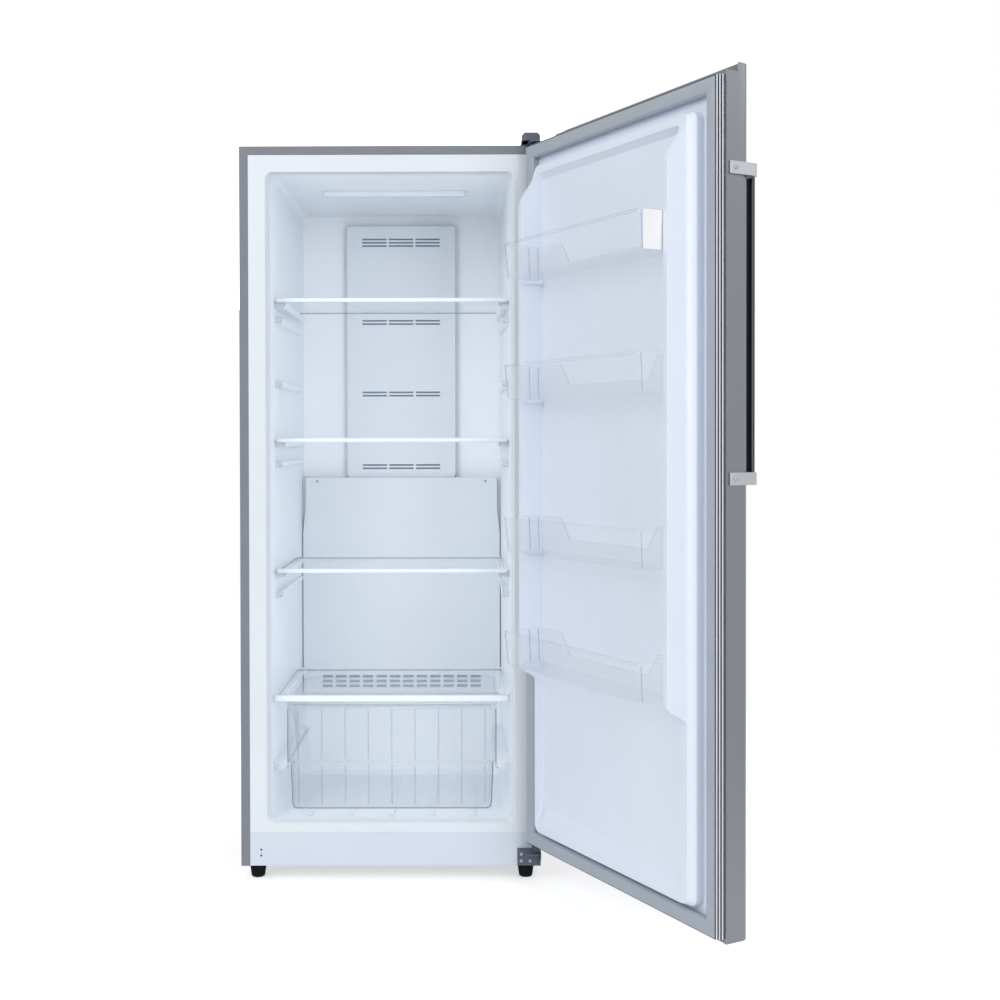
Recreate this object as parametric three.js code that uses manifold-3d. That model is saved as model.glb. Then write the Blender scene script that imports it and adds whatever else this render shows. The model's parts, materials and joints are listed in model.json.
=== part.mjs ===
// An upright frost-free freezer, stored with its door open, as an assembly of separate pieces.
//
// Millimetres, +Z up, the front faces -Y. While it is being built, x = 0 is the middle of the
// cabinet, y = 0 is the front plane that the door seals on, and z = 0 is the floor. The door and
// what it carries are built closed, in a group that turns about the hinge axis. The last lines
// move the whole freezer so that the origin lies under the middle of its box.

import * as THREE from 'three';
import { mergeVertices } from 'three/addons/utils/BufferGeometryUtils.js';
import Module from 'manifold-3d';

const wasm = await Module();
wasm.setup();

// ---------------------------------------------------------------------------------------------
// Driving dimensions
// ---------------------------------------------------------------------------------------------

// Cabinet
const cabinetWidth = 711;
const cabinetHeight = 1705;          // the box alone, without its feet
const cabinetDepth = 680;            // sealing plane to back panel
const floorClearance = 35;           // floor to the underside of the box
const sheet = 1;                     // steel sheet of the shell, back and base
const seat = 0.3;                    // gap left between two pieces that touch
const upstandThickness = 1.5;        // the base's turned-up sides
const shellFlange = 21;              // the shell's turned-in front edge
const frameWidth = 61;               // outside of the cabinet to the edge of the opening, sides and top
const kickHeight = 80;               // height of the kick panel
const sillHeight = 103;              // underside of the box to the edge of the opening

// Inner liner
const linerWall = 2;
const mouthDepth = 22;               // the opening narrows over this depth,
const mouthInset = 8;                // by this much at each side,
const mouthSill = 5;                 // at the bottom
const mouthCeiling = 2;              // and at the top
const linerDraft = 15;               // how far each side wall leans in from front to back
const ceilingFall = 11;              // how far the ceiling comes down from front to back
const linerCorner = 18;
const backInsulation = 140;          // compartment's back wall to the back of the cabinet
const humpLength = 110;              // the rise over the compressor, front to back
const humpTopHeight = 205;           // floor of the compartment to the top of that rise
const bayDepth = 72;                 // recess in the back wall for the evaporator
const bayShoulder = 22;              // side wall of the compartment to that recess
const bayRise = 337;                 // opening's lower edge to the bottom of the recess
const ledgeThickness = 15;
const ledgeOverlap = 15;             // how far a shelf's glass lies on its ledges
const spareLedgeSetback = 8;         // spare ledges reach in less far

// Shelves. Heights are shares of the opening's height.
const shelfShares = [0.8105, 0.5912, 0.3861];
const crisperShare = 0.1911;
const spareLedgeShares = [0.7833, 0.6827, 0.5561, 0.3504];
const shelfSideGap = 1.5;            // glass to the side walls, at its back edge
const trimSideGap = 6;
const shelfBackGap = 130;            // shelves end this far from the back wall
const shelfDoorGap = 4;              // shelf trims to the closed door's side walls
const crisperFrontY = 30;
const glassThickness = 4;
const trimHeight = 10.5;
const trimDepth = 14;
const trimRise = 2;                  // top of the trim above the glass
const ledgeSetback = 1;              // shelf trim to the front of its ledge
const crisperTrimHeight = 15;

// Drawer
const drawerSideGap = 20.5;          // edge of the glass above it to the drawer's side
const drawerStep = 7.5;              // how far the sides step in under the runners
const drawerTaper = 4;
const drawerFrontY = 40;
const drawerTopDrop = 21;            // top of the crisper glass to the drawer's rim
const drawerFloorGap = 19.5;         // opening's lower edge to the drawer's bottom
const drawerRunnerRise = 113;        // drawer's bottom to its runners
const drawerWall = 2.6;
const drawerRibs = 9;
const runnerOverlap = 6;

// Rear wall of the compartment
const ductHalfWidth = 151;
const ductTopGap = 42;               // duct panel to the opening's upper edge
const ductDepth = 24;
const panelWall = 2.4;
const ventWidth = 213;
const ventSlotHeight = 4.6;
const ventRows = [[0.9419, 3], [0.7998, 2], [0.672, 2], [0.5422, 2]];   // share of the height, slots
const ventSlotPitch = 9;
const ventColumns = 3;
const ventBar = 7;                   // bar between two columns of slots
const coverShare = 0.523;            // top of the evaporator's cover
const coverSideGap = 1.5;            // cover to the side walls, in its lower part
const coverNeck = 7;                 // how far its upper part is narrower, each side
const coverDepth = 38;
const coverCorner = 8;
const grilleColumns = 12;
const grilleRows = 3;
const grilleSideGap = 32;            // recess's side to the return grille
const grilleRise = 32;               // cover's lower edge to the middle of the grille
const grilleSlotHeight = 8;
const grilleRowPitch = 13;
const grilleBar = 9;

// Evaporator
const coilSideGap = 35;
const coilRise = 35;                 // bottom of the recess to the coil
const coilTubeRadius = 4.5;
const coilPasses = 4;
const coilFins = 6;
const finThickness = 1;
const finDepth = 52;
const heaterRadius = 3.5;
const evaporatorFanRadius = 50;
const evaporatorFanDrop = 70;        // top of the recess to the fan's axis
const coilFanGap = 58;               // coil to the fan's blades
const motorRadius = 22;
const motorLength = 24;

// Ceiling lamp
const lampWidth = 360;
const lampDepth = 34;
const lampHeight = 12;
const lampShare = 0.413;             // its middle, as a share of the compartment's depth
const lampWall = 1.5;

// Machine room, measured from the back, the sides and the underside of the cabinet
const roomDepth = 190;
const roomSlopeDepth = 80;
const roomSlopeRise = 145;
const roomHeight = 265;
const compressorSideGap = 205.5;     // side of the cabinet to the compressor's axis
const compressorBackGap = 90;
const compressorRadius = 78;
const compressorHeight = 150;
const compressorPlate = [210, 156, 5];
const grommetPlaces = [90, 62];
const relaySize = [36, 60, 62];
const grommetHeight = 14;
const condenserSideGap = 205.5;      // side of the cabinet to the condenser's first layer
const condenserLayerPitch = 40;
const condenserPasses = 4;
const condenserPitch = 30;
const condenserTubeRadius = 3;
const condenserFrontGap = 30;        // front of the machine room to the condenser
const condenserBackGap = 18;
const condenserRise = 43;
const condenserFoot = [44, 30];      // how far its feet reach, sideways and forwards
const condenserLegHeight = 80;
const drierGap = 2;                  // filter drier to the compressor's plate and to the fan
const drierReach = [12, 14];         // its axis to the sides of its clip
const drierRadius = 9;
const motorReach = [46, 18];         // fan's plate to the ends of its motor
const armThickness = 4;
const condenserFanRadius = 58;
const condenserFanBackGap = 88;
const condenserFanRise = 95;
const drainSideGap = 150.5;
const drainBackGap = 95;
const drainRadius = 7;
const drainSlot = [60, 12];          // air slot in the base, width and depth
const stubRise = 115;                // underside of the cabinet to the compressor's suction stub
const dischargeDrop = 40;            // suction stub to discharge stub, downwards
const coverSlotRows = 6;
const coverSlotPitch = 30;
const coverSlotHeight = 9;
const coverSlotWidth = 200;
const coverSlotBar = 14;

// Feet and rollers
const footSideGap = 34.5;            // side of the cabinet to the foot's axis
const footY = 38;
const footTopRadius = 19;
const footBottomRadius = 15;
const footStemRadius = 5;
const footBushHeight = 26;
const stemClearance = 0.4;
const rollerSideGap = 59.5;
const rollerBackGap = 48;
const rollerRadius = 16;
const rollerWidth = 18;
const rollerPinRadius = 3;
const rollerForkWall = 2;

// Door
const hingeInset = 12;               // hinge axis to the door's side face
const hingeFrontY = 26;              // hinge axis in front of the sealing plane
const openAngle = 118.5;             // how far the stored door stands open
const doorBackOffset = 7;            // hinge axis to the door's inner face
const doorThickness = 58;            // inner face to the front, at the door's edges
const doorBow = 10;                  // how far the front bulges in the middle
const doorCorner = 20;
const doorSheet = 1;
const doorHingeGap = 14;             // lower hinge's plate to the door
const doorTopGap = 3;                // top of the door's inner step to the top of the cabinet
const doorLip = 17;                  // how far the front stands above that step
const lipBack = 27;                  // inner face to the back of the raised front
const lipEnd = 50;                   // the raised front stops this far from the hinge axis
const capThickness = 15;
const plugClearance = 5;             // door liner to the opening
const plugDraft = 0.08;
const plugCorner = 18;
const rimHeight = 16;                // low rim of the door liner beyond the sealing plane
const dikeHeight = 60;               // tall side walls beyond the sealing plane
const rimWidth = 25;
const panelHeight = 4;               // the liner's panel beyond the sealing plane
const dikeBottomShares = [0.2323, 0.2563];   // the tall walls rise between these heights
const dikeTopShares = [0.928, 0.9877];       // and fall again between these
const doorLinerWall = 2;
const gasketOuter = 7;               // door edge to the gasket
const gasketWidth = 34;
const handleTopShare = 0.8894;       // middle of each strap, as shares of the door's height
const handleBottomShare = 0.5337;
const handleStrapHeight = 24;
const handleStrapThickness = 4;
const handleStrapBend = 12;          // outer radius of the strap's bend
const handleReach = 23;              // door's front edge to the middle of the bar
const handleInset = 29;              // door's side face to the middle of the bar
const handleBarWidth = 22;
const handleBarDepth = 10;
const handleScrewDepth = 20;         // door's inner face to the strap's screw
const displayWidth = 62;
const displayHeight = 128;
const displayShare = 0.8608;
const displayThickness = 2.2;

// Door bins
const binShares = [0.8222, 0.647, 0.4263, 0.2609];
const binHeight = 78;
const binDepth = 104;
const binTaper = 4;
const binWall = 2.2;
const binSideGap = 2.5;
const binBackHeight = 30;            // the back wall's low middle
const binShoulder = [82, 118];       // from each end to the top and the foot of its slanted shoulders
const lugReach = 9;
const lugHeight = 6;

// Hinges
const hingePlate = 3;
const hingePinRadius = 4;
const hingePinClearance = 0.4;
const hingePinLength = 12;
const hingeArm = 18;
const hingePlateBackY = 78;
const hingeCoverHeight = 24;
const hingeCoverWall = 2;
const lowerHingeRise = 43;           // underside of the cabinet to the top of the lower hinge
const lowerHingeWidth = 55.5;

// Values that follow from them
const halfWidth = cabinetWidth / 2;
const bottomZ = floorClearance;
const topZ = floorClearance + cabinetHeight;
const openingHalf = halfWidth - frameWidth;
const openingBottom = bottomZ + sillHeight;
const openingTop = topZ - frameWidth;
const atHeight = (share) => openingBottom + share * (openingTop - openingBottom);
const kickTop = bottomZ + kickHeight;
const linerBackY = cabinetDepth - backInsulation;
const humpFootY = linerBackY - humpLength;
const bayBackY = linerBackY + bayDepth;

// The side walls, floor and ceiling of the compartment at a depth y.
const mouthAt = (y) => {
  const part = THREE.MathUtils.clamp(y / mouthDepth, 0, 1);
  return part * (2 - part);
};
const linerHalfAt = (y) =>
  openingHalf - mouthInset * mouthAt(y) - (linerDraft * Math.max(y, 0)) / linerBackY;
const floorAt = (y) => openingBottom + mouthSill * mouthAt(y);
const ceilingAt = (y) =>
  openingTop - mouthCeiling * mouthAt(y) - (ceilingFall * Math.max(y, 0)) / linerBackY;

const bayHalfWidth = linerHalfAt(linerBackY) - bayShoulder;
const bayBottomZ = openingBottom + bayRise;
const coverTopZ = atHeight(coverShare);
const coverBottomZ = openingBottom + humpTopHeight + 9;
const coverLowerHalf = linerHalfAt(linerBackY - seat) - coverSideGap;
const bayTopZ = coverTopZ - 6;
const ductTopZ = openingTop - ductTopGap;

const shelfHeights = shelfShares.map(atHeight);     // top of each glass
const crisperShelfZ = atHeight(crisperShare);
const shelfFrontY = dikeHeight + shelfDoorGap;
const shelfBackY = linerBackY - shelfBackGap;
const glassHalf = linerHalfAt(shelfBackY) - shelfSideGap;
const ledgeInnerX = glassHalf - ledgeOverlap;
const ledgeFrontY = shelfFrontY + trimDepth + ledgeSetback;
const ledgeBackY = shelfBackY + 60;

const drawerHalfWidth = glassHalf - drawerSideGap;
const drawerBackY = humpFootY - 10;
const drawerTopZ = crisperShelfZ - drawerTopDrop;
const drawerBottomZ = openingBottom + drawerFloorGap;
const drawerRunnerZ = drawerBottomZ + drawerRunnerRise;

const evaporatorFanZ = bayTopZ - evaporatorFanDrop;
const coilHalf = bayHalfWidth - coilSideGap;
const coilBottomZ = bayBottomZ + coilRise;
const coilHeight = evaporatorFanZ - evaporatorFanRadius - coilFanGap - coilBottomZ;
const lampY = lampShare * linerBackY;

const basePanTop = bottomZ + 1.5;
const roomFrontY = cabinetDepth - roomDepth;
const roomSlopeBackY = cabinetDepth - roomSlopeDepth;
const roomSlopeZ = bottomZ + roomSlopeRise;
const roomTopZ = bottomZ + roomHeight;
const compressorX = compressorSideGap - halfWidth;
const compressorY = cabinetDepth - compressorBackGap;
const condenserX = [halfWidth - condenserSideGap, halfWidth - condenserSideGap + condenserLayerPitch];
const condenserFrontY = roomFrontY + condenserFrontGap;
const condenserBackY = cabinetDepth - condenserBackGap;
const condenserBottomZ = bottomZ + condenserRise;
const drierX = compressorX + compressorPlate[0] / 2 + drierGap + drierReach[0];
const condenserFanX = drierX + drierReach[1] + drierGap + motorReach[0];
const condenserFanY = cabinetDepth - condenserFanBackGap;
const condenserFanZ = bottomZ + condenserFanRise;
const drainX = halfWidth - drainSideGap;
const drainY = cabinetDepth - drainBackGap;
const suctionX = compressorX + compressorRadius + 12;
const suctionY = condenserFanY;
const suctionRadius = 4;
const stubZ = bottomZ + stubRise;

const footX = halfWidth - footSideGap;
const rollerX = halfWidth - rollerSideGap;
const rollerY = cabinetDepth - rollerBackGap;

const hingeX = halfWidth - hingeInset;
const lowerHingeTopZ = bottomZ + lowerHingeRise;
const lowerHingeInnerX = halfWidth - lowerHingeWidth;
const doorBottomZ = lowerHingeTopZ + doorHingeGap;
const doorStepZ = topZ - doorTopGap;
const onDoor = (share) => doorBottomZ + share * (doorStepZ - doorBottomZ);
const handleTopZ = onDoor(handleTopShare);
const handleBottomZ = onDoor(handleBottomShare);
const displayZ = onDoor(displayShare);
const dikeBottomZ = dikeBottomShares.map(atHeight);
const dikeTopZ = dikeTopShares.map(atHeight);
const binBottoms = binShares.map(atHeight);

// ---------------------------------------------------------------------------------------------
// Finishes
// ---------------------------------------------------------------------------------------------

const finish = (color, roughness, metalness, opacity = 1) =>
  new THREE.MeshStandardMaterial({ color, roughness, metalness, opacity, transparent: opacity < 1 });

const stainless = finish('#9a9ea6', 0.34, 0.9);
const greySteel = finish('#7f828c', 0.5, 0.6);
const darkSteel = finish('#3c4148', 0.5, 0.7);
const zincSteel = finish('#a6a9ac', 0.45, 0.8);
const whitePlastic = finish('#dfe7f1', 0.38, 0);
const greyPlastic = finish('#8a919b', 0.55, 0);
const darkPlastic = finish('#34383d', 0.5, 0);
const blackGloss = finish('#0b0d10', 0.12, 0);
const clearPlastic = finish('#e6f0fa', 0.12, 0, 0.4);
const clearGlass = finish('#dfeef5', 0.05, 0, 0.35);
const gasketRubber = finish('#a9b0ba', 0.7, 0);
const blackRubber = finish('#141414', 0.8, 0);
const foam = finish('#e8d9a8', 0.9, 0);
const castBlack = finish('#17181a', 0.45, 0.4);
const copper = finish('#b4693f', 0.35, 0.9);
const aluminium = finish('#b9bec2', 0.4, 0.9);
const boardGreen = finish('#1f5a3c', 0.6, 0);
const lampWhite = finish('#f6f8fb', 0.3, 0);

// ---------------------------------------------------------------------------------------------
// Shape helpers
// ---------------------------------------------------------------------------------------------

// A closed geometry as a solid: equal corners merged, faces turned outwards.
function solid(geometry) {
  const bare = new THREE.BufferGeometry();
  bare.setAttribute('position', geometry.getAttribute('position').clone());
  if (geometry.index) bare.setIndex(geometry.index.clone());
  const merged = mergeVertices(bare, 1e-4);
  const points = merged.getAttribute('position');
  const index = merged.getIndex().array;
  const triangles = [];
  const corners = [new THREE.Vector3(), new THREE.Vector3(), new THREE.Vector3()];
  let volume = 0;
  for (let i = 0; i < index.length; i += 3) {
    const [a, b, c] = [index[i], index[i + 1], index[i + 2]];
    if (a === b || b === c || a === c) continue;
    triangles.push([a, b, c]);
    [a, b, c].forEach((vertex, k) => corners[k].fromBufferAttribute(points, vertex));
    volume += corners[0].dot(corners[1].cross(corners[2]));
  }
  const outward = volume < 0 ? triangles.map(([a, b, c]) => [a, c, b]) : triangles;
  return new wasm.Manifold(new wasm.Mesh({
    numProp: 3,
    vertProperties: new Float32Array(points.array),
    triVerts: new Uint32Array(outward.flat()),
  }));
}

function box(x0, x1, y0, y1, z0, z1) {
  const shape = new THREE.BoxGeometry(x1 - x0, y1 - y0, z1 - z0);
  return solid(shape.translate((x0 + x1) / 2, (y0 + y1) / 2, (z0 + z1) / 2));
}

// An outline pushed along an axis. Its points are (x, y) along Z, (y, z) along X, (x, z) along Y.
const extrusionFrames = {
  X: (from) => new THREE.Matrix4().set(0, 0, 1, from, 1, 0, 0, 0, 0, 1, 0, 0, 0, 0, 0, 1),
  Y: (from, to) => new THREE.Matrix4().set(1, 0, 0, 0, 0, 0, -1, to, 0, 1, 0, 0, 0, 0, 0, 1),
  Z: (from) => new THREE.Matrix4().makeTranslation(0, 0, from),
};

function prism(axis, outline, from, to, holes = []) {
  const shape = new THREE.Shape(outline.map(([u, v]) => new THREE.Vector2(u, v)));
  shape.holes = holes.map((hole) => new THREE.Path(hole.map(([u, v]) => new THREE.Vector2(u, v))));
  const pushed = new THREE.ExtrudeGeometry(shape, { depth: to - from, bevelEnabled: false });
  return solid(pushed.applyMatrix4(extrusionFrames[axis](from, to)));
}

const circle = (u, v, radius, sides = 16) =>
  Array.from({ length: sides }, (_, i) => {
    const angle = (i * 2 * Math.PI) / sides;
    return [u + radius * Math.cos(angle), v + radius * Math.sin(angle)];
  });

const cylinder = (axis, u, v, radius, from, to, sides = 16) =>
  prism(axis, circle(u, v, radius, sides), from, to);

// A rectangle with round corners, counter-clockwise.
function roundedRectangle(u0, u1, v0, v1, radius, steps = 4) {
  const centres = [[u1 - radius, v0 + radius, -90], [u1 - radius, v1 - radius, 0],
    [u0 + radius, v1 - radius, 90], [u0 + radius, v0 + radius, 180]];
  const points = [];
  for (const [u, v, start] of centres) {
    for (let k = 0; k <= steps; k += 1) {
      const angle = THREE.MathUtils.degToRad(start + (90 * k) / steps);
      points.push([u + radius * Math.cos(angle), v + radius * Math.sin(angle)]);
    }
  }
  return points;
}

// A skin over convex sections with equal numbers of points, closed at both ends.
function loft(sections) {
  const count = sections[0].length;
  const positions = sections.flat().flatMap((point) => [point.x, point.y, point.z]);
  const index = [];
  for (let s = 0; s < sections.length - 1; s += 1) {
    for (let i = 0; i < count; i += 1) {
      const j = (i + 1) % count;
      const [a, b, c, d] = [s * count + i, s * count + j, (s + 1) * count + j, (s + 1) * count + i];
      index.push(a, b, c, a, c, d);
    }
  }
  const last = (sections.length - 1) * count;
  for (let i = 1; i < count - 1; i += 1) {
    index.push(0, i + 1, i);
    index.push(last, last + i, last + i + 1);
  }
  const skin = new THREE.BufferGeometry();
  skin.setAttribute('position', new THREE.Float32BufferAttribute(positions, 3));
  skin.setIndex(index);
  return solid(skin);
}

// Sections at heights along Y or Z for loft().
const atY = (outline, y) => outline.map(([x, z]) => new THREE.Vector3(x, y, z));
const atZ = (outline, z) => outline.map(([x, y]) => new THREE.Vector3(x, y, z));

// A profile of [radius, height] pairs turned about a line along Z through (x, y).
function turned(profile, x, y, sides = 16) {
  const points = profile.map(([radius, height]) => new THREE.Vector2(radius, height));
  return solid(new THREE.LatheGeometry(points, sides).rotateX(Math.PI / 2).translate(x, y, 0));
}

// Straight runs joined by bends of one radius.
function bentRoute(corners, radius, steps = 4) {
  const stops = corners.map((corner) => new THREE.Vector3(...corner));
  const points = [stops[0]];
  for (let i = 1; i < stops.length - 1; i += 1) {
    const back = stops[i - 1].clone().sub(stops[i]).normalize();
    const ahead = stops[i + 1].clone().sub(stops[i]).normalize();
    const half = back.angleTo(ahead) / 2;
    const middle = back.clone().add(ahead).normalize();
    const centre = stops[i].clone().addScaledVector(middle, radius / Math.sin(half));
    const start = stops[i].clone().addScaledVector(back, radius / Math.tan(half)).sub(centre);
    const end = stops[i].clone().addScaledVector(ahead, radius / Math.tan(half)).sub(centre);
    const hub = start.clone().cross(end).normalize();
    for (let k = 0; k <= steps; k += 1) {
      const turn = (start.angleTo(end) * k) / steps;
      points.push(start.clone().applyAxisAngle(hub, turn).add(centre));
    }
  }
  points.push(stops[stops.length - 1]);
  return points;
}

// A curve that stops at each of its points, so that a tube along it bends exactly there.
class Route extends THREE.Curve {
  constructor(points) {
    super();
    this.points = points;
  }

  getPoint(t, target = new THREE.Vector3()) {
    const place = t * (this.points.length - 1);
    const i = Math.min(Math.floor(place), this.points.length - 2);
    return target.lerpVectors(this.points[i], this.points[i + 1], place - i);
  }

  getPointAt(u, target) {
    return this.getPoint(u, target);
  }

  getTangentAt(u, target = new THREE.Vector3()) {
    const i = Math.round(u * (this.points.length - 1));
    const here = this.points[i];
    const before = this.points[i - 1] ?? here;
    const after = this.points[i + 1] ?? here;
    const arriving = here.clone().sub(before).normalize();
    const leaving = after.clone().sub(here).normalize();
    return target.addVectors(arriving, leaving).normalize();
  }
}

function tube(points, radius, sides = 8) {
  const section = new THREE.Shape(circle(0, 0, radius, sides).map(([u, v]) => new THREE.Vector2(u, v)));
  const along = { steps: points.length - 1, bevelEnabled: false, extrudePath: new Route(points) };
  return solid(new THREE.ExtrudeGeometry(section, along));
}

const join = (solids) => solids.reduce((sum, next) => sum.add(next));
const cut = (body, tools) => tools.reduce((rest, tool) => rest.subtract(tool), body);

function addPart(group, name, body, material) {
  const { vertProperties, triVerts } = body.getMesh();
  const geometry = new THREE.BufferGeometry();
  geometry.setAttribute('position', new THREE.BufferAttribute(new Float32Array(vertProperties), 3));
  geometry.setIndex(new THREE.BufferAttribute(new Uint32Array(triVerts), 1));
  geometry.computeVertexNormals();
  const mesh = new THREE.Mesh(geometry, material);
  mesh.name = name;
  group.add(mesh);
}

// ---------------------------------------------------------------------------------------------
// Cabinet body
// ---------------------------------------------------------------------------------------------

// The compartment's hollow, grown by `grow` on every side: narrowing mouth, leaning walls, falling
// ceiling, the sloped hump over the compressor and the recess for the evaporator.
function compartment(grow) {
  const section = (y) => atY(roundedRectangle(
    -linerHalfAt(y) - grow, linerHalfAt(y) + grow, floorAt(y) - grow, ceilingAt(y) + grow,
    linerCorner + grow, 5), y);
  const stations = [-5, 0, mouthDepth / 3, (2 * mouthDepth) / 3, mouthDepth, linerBackY + grow];
  const hollow = loft(stations.map(section));
  const slope = Math.hypot(humpLength, humpTopHeight);
  const [alongY, alongZ] = [humpLength / slope, humpTopHeight / slope];
  const lower = [humpFootY - 60 * alongY, openingBottom - 60 * alongZ];
  const upper = [linerBackY + 60 * alongY, openingBottom + humpTopHeight + 60 * alongZ];
  const humpOutline = [lower, [upper[0], lower[1]], upper]
    .map(([y, z]) => [y + grow * alongZ, z - grow * alongY]);
  const hump = prism('X', humpOutline, -halfWidth, halfWidth);
  const bay = box(-bayHalfWidth - grow, bayHalfWidth + grow, linerBackY - 5, bayBackY + grow,
    bayBottomZ - grow, bayTopZ + grow);
  return hollow.subtract(hump).add(bay);
}

// The machine room behind and under the hump, grown by `grow` towards the foam.
function machineRoom(grow) {
  const lean = grow * Math.tan(Math.PI / 8);
  return prism('X', [
    [roomFrontY - grow, bottomZ - 5], [cabinetDepth + 5, bottomZ - 5],
    [cabinetDepth + 5, roomTopZ + grow], [roomSlopeBackY - lean, roomTopZ + grow],
    [roomFrontY - grow, roomSlopeZ + lean],
  ], -halfWidth + sheet + seat, halfWidth - sheet - seat);
}

function buildShell(group) {
  const outside = box(-halfWidth, halfWidth, 0, cabinetDepth, bottomZ, topZ);
  const inside = box(-halfWidth + sheet, halfWidth - sheet, sheet, cabinetDepth + 1,
    bottomZ - 1, topZ - sheet);
  const front = box(-halfWidth + shellFlange, halfWidth - shellFlange, -1, sheet + 1,
    bottomZ - 1, topZ - shellFlange);
  addPart(group, 'outer_shell', cut(outside, [inside, front]), greySteel);
}

function buildBackPanel(group) {
  const inset = sheet + seat;
  const panel = box(-halfWidth + inset, halfWidth - inset, cabinetDepth - sheet, cabinetDepth,
    roomTopZ + inset, topZ - inset);
  const pressedRibs = [-1, 1].map((side) => prism('X', [
    [cabinetDepth - sheet / 2, roomTopZ + 60], [cabinetDepth + 4, roomTopZ + 64],
    [cabinetDepth + 4, topZ - 64], [cabinetDepth - sheet / 2, topZ - 60],
  ], side * (halfWidth / 2) - 15, side * (halfWidth / 2) + 15));
  addPart(group, 'back_panel', join([panel, ...pressedRibs]), zincSteel);
}

function buildBasePan(group) {
  const half = halfWidth - sheet - seat;
  const frontY = 16;
  const rearY = cabinetDepth - 4;
  const floor = box(-half, half, frontY, rearY, bottomZ, basePanTop);
  const upstands = [-1, 1].map((side) => box(
    Math.min(side * half, side * (half - upstandThickness)),
    Math.max(side * half, side * (half - upstandThickness)), frontY, rearY, bottomZ, bottomZ + 14));
  const bushes = [-1, 1].map((side) =>
    cylinder('Z', side * footX, footY, footStemRadius + 5, basePanTop - 1, bottomZ + footBushHeight, 10));
  const forks = [];
  for (const side of [-1, 1]) {
    const centre = side * rollerX;
    for (const cheek of [-1, 1]) {
      const face = centre + cheek * (rollerWidth / 2 + 2);
      const outer = face + cheek * rollerForkWall;
      forks.push(prism('X', [
        [rollerY - 16, bottomZ + 0.5], [rollerY - 7, rollerRadius - 6], [rollerY + 7, rollerRadius - 6],
        [rollerY + 16, bottomZ + 0.5],
      ], Math.min(face, outer), Math.max(face, outer)));
    }
    const reach = rollerWidth / 2 + 2 + rollerForkWall;
    forks.push(cylinder('X', rollerY, rollerRadius, rollerPinRadius, centre - reach, centre + reach, 8));
  }
  const stemHoles = [-1, 1].map((side) =>
    cylinder('Z', side * footX, footY, footStemRadius + stemClearance, bottomZ - 1, bottomZ + 40));
  const [slotWidth, slotDepth] = drainSlot;
  const airSlot = box(drainX - slotWidth / 2, drainX + slotWidth / 2, roomFrontY + 10,
    roomFrontY + 10 + slotDepth, bottomZ - 1, basePanTop + 1);
  const body = cut(join([floor, ...upstands, ...bushes, ...forks]), [...stemHoles, airSlot]);
  addPart(group, 'base_pan', body, zincSteel);
}

function buildRoomWall(group) {
  const wall = machineRoom(sheet).subtract(machineRoom(0));
  const half = halfWidth - sheet - upstandThickness - 2 * seat;
  const inside = box(-half, half, 0, cabinetDepth, basePanTop + seat, topZ);
  const drainHole = cylinder('Z', drainX, drainY, drainRadius + seat, roomSlopeZ, bayBottomZ, 12);
  const lineHole = cylinder('Z', suctionX, suctionY, suctionRadius + seat, roomSlopeZ, bayBottomZ, 10);
  addPart(group, 'machine_room_wall', cut(wall.intersect(inside), [drainHole, lineHole]), zincSteel);
}

function buildCabinetFoam(group) {
  const half = halfWidth - sheet - seat;
  const inset = upstandThickness + seat;
  const block = box(-half + inset, half - inset, 16 + seat, cabinetDepth - sheet - seat,
    basePanTop + seat, topZ - sheet - seat);
  const sides = box(-half, half, 16 + seat, cabinetDepth - sheet - seat, bottomZ + 15,
    topZ - sheet - seat);
  const front = box(-half, half, linerWall + seat, 20, kickTop + seat, topZ - sheet - seat);
  const tools = [compartment(linerWall + seat), machineRoom(sheet + seat)];
  for (const side of [-1, 1]) {
    tools.push(cylinder('Z', side * footX, footY, footStemRadius + 6, bottomZ - 1, bottomZ + 45, 12));
  }
  tools.push(cylinder('Z', drainX, drainY, drainRadius + seat, roomSlopeZ, bayBottomZ + 5, 12));
  tools.push(cylinder('Z', suctionX, suctionY, suctionRadius + seat, roomSlopeZ, bayBottomZ + 5, 10));
  addPart(group, 'cabinet_foam', cut(join([block, sides, front]), tools), foam);
}

// Ledges on both side walls: a pair under each shelf, spare pairs, and the drawer's runners.
function wallLedges() {
  const tops = [...shelfHeights, crisperShelfZ].map((height) => height - glassThickness - seat);
  const spares = spareLedgeShares.map(atHeight);
  const ledges = [];
  for (const side of [-1, 1]) {
    for (const top of tops) {
      ledges.push(ledge(side, ledgeInnerX, top, ledgeFrontY));
    }
    for (const top of spares) {
      ledges.push(ledge(side, ledgeInnerX + spareLedgeSetback, top, ledgeFrontY + 8));
    }
    const runnerInner = drawerHalfWidth - runnerOverlap;
    ledges.push(ledge(side, runnerInner, drawerRunnerZ - seat, drawerFrontY + 6));
  }
  return ledges;
}

// One ledge, with its inner front corner cut back.
function ledge(side, innerX, top, frontY) {
  const outer = openingHalf + 5;
  const low = top - ledgeThickness;
  const section = (inset) => [[innerX + inset + 2, top], [innerX + inset, top - 2],
    [innerX + inset, low + 5], [innerX + inset + 5, low], [outer, low - 4], [outer, top]]
    .map(([x, z]) => [side * x, z]);
  return loft([atY(section(7), frontY), atY(section(0), frontY + 8), atY(section(0), ledgeBackY)]);
}

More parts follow.
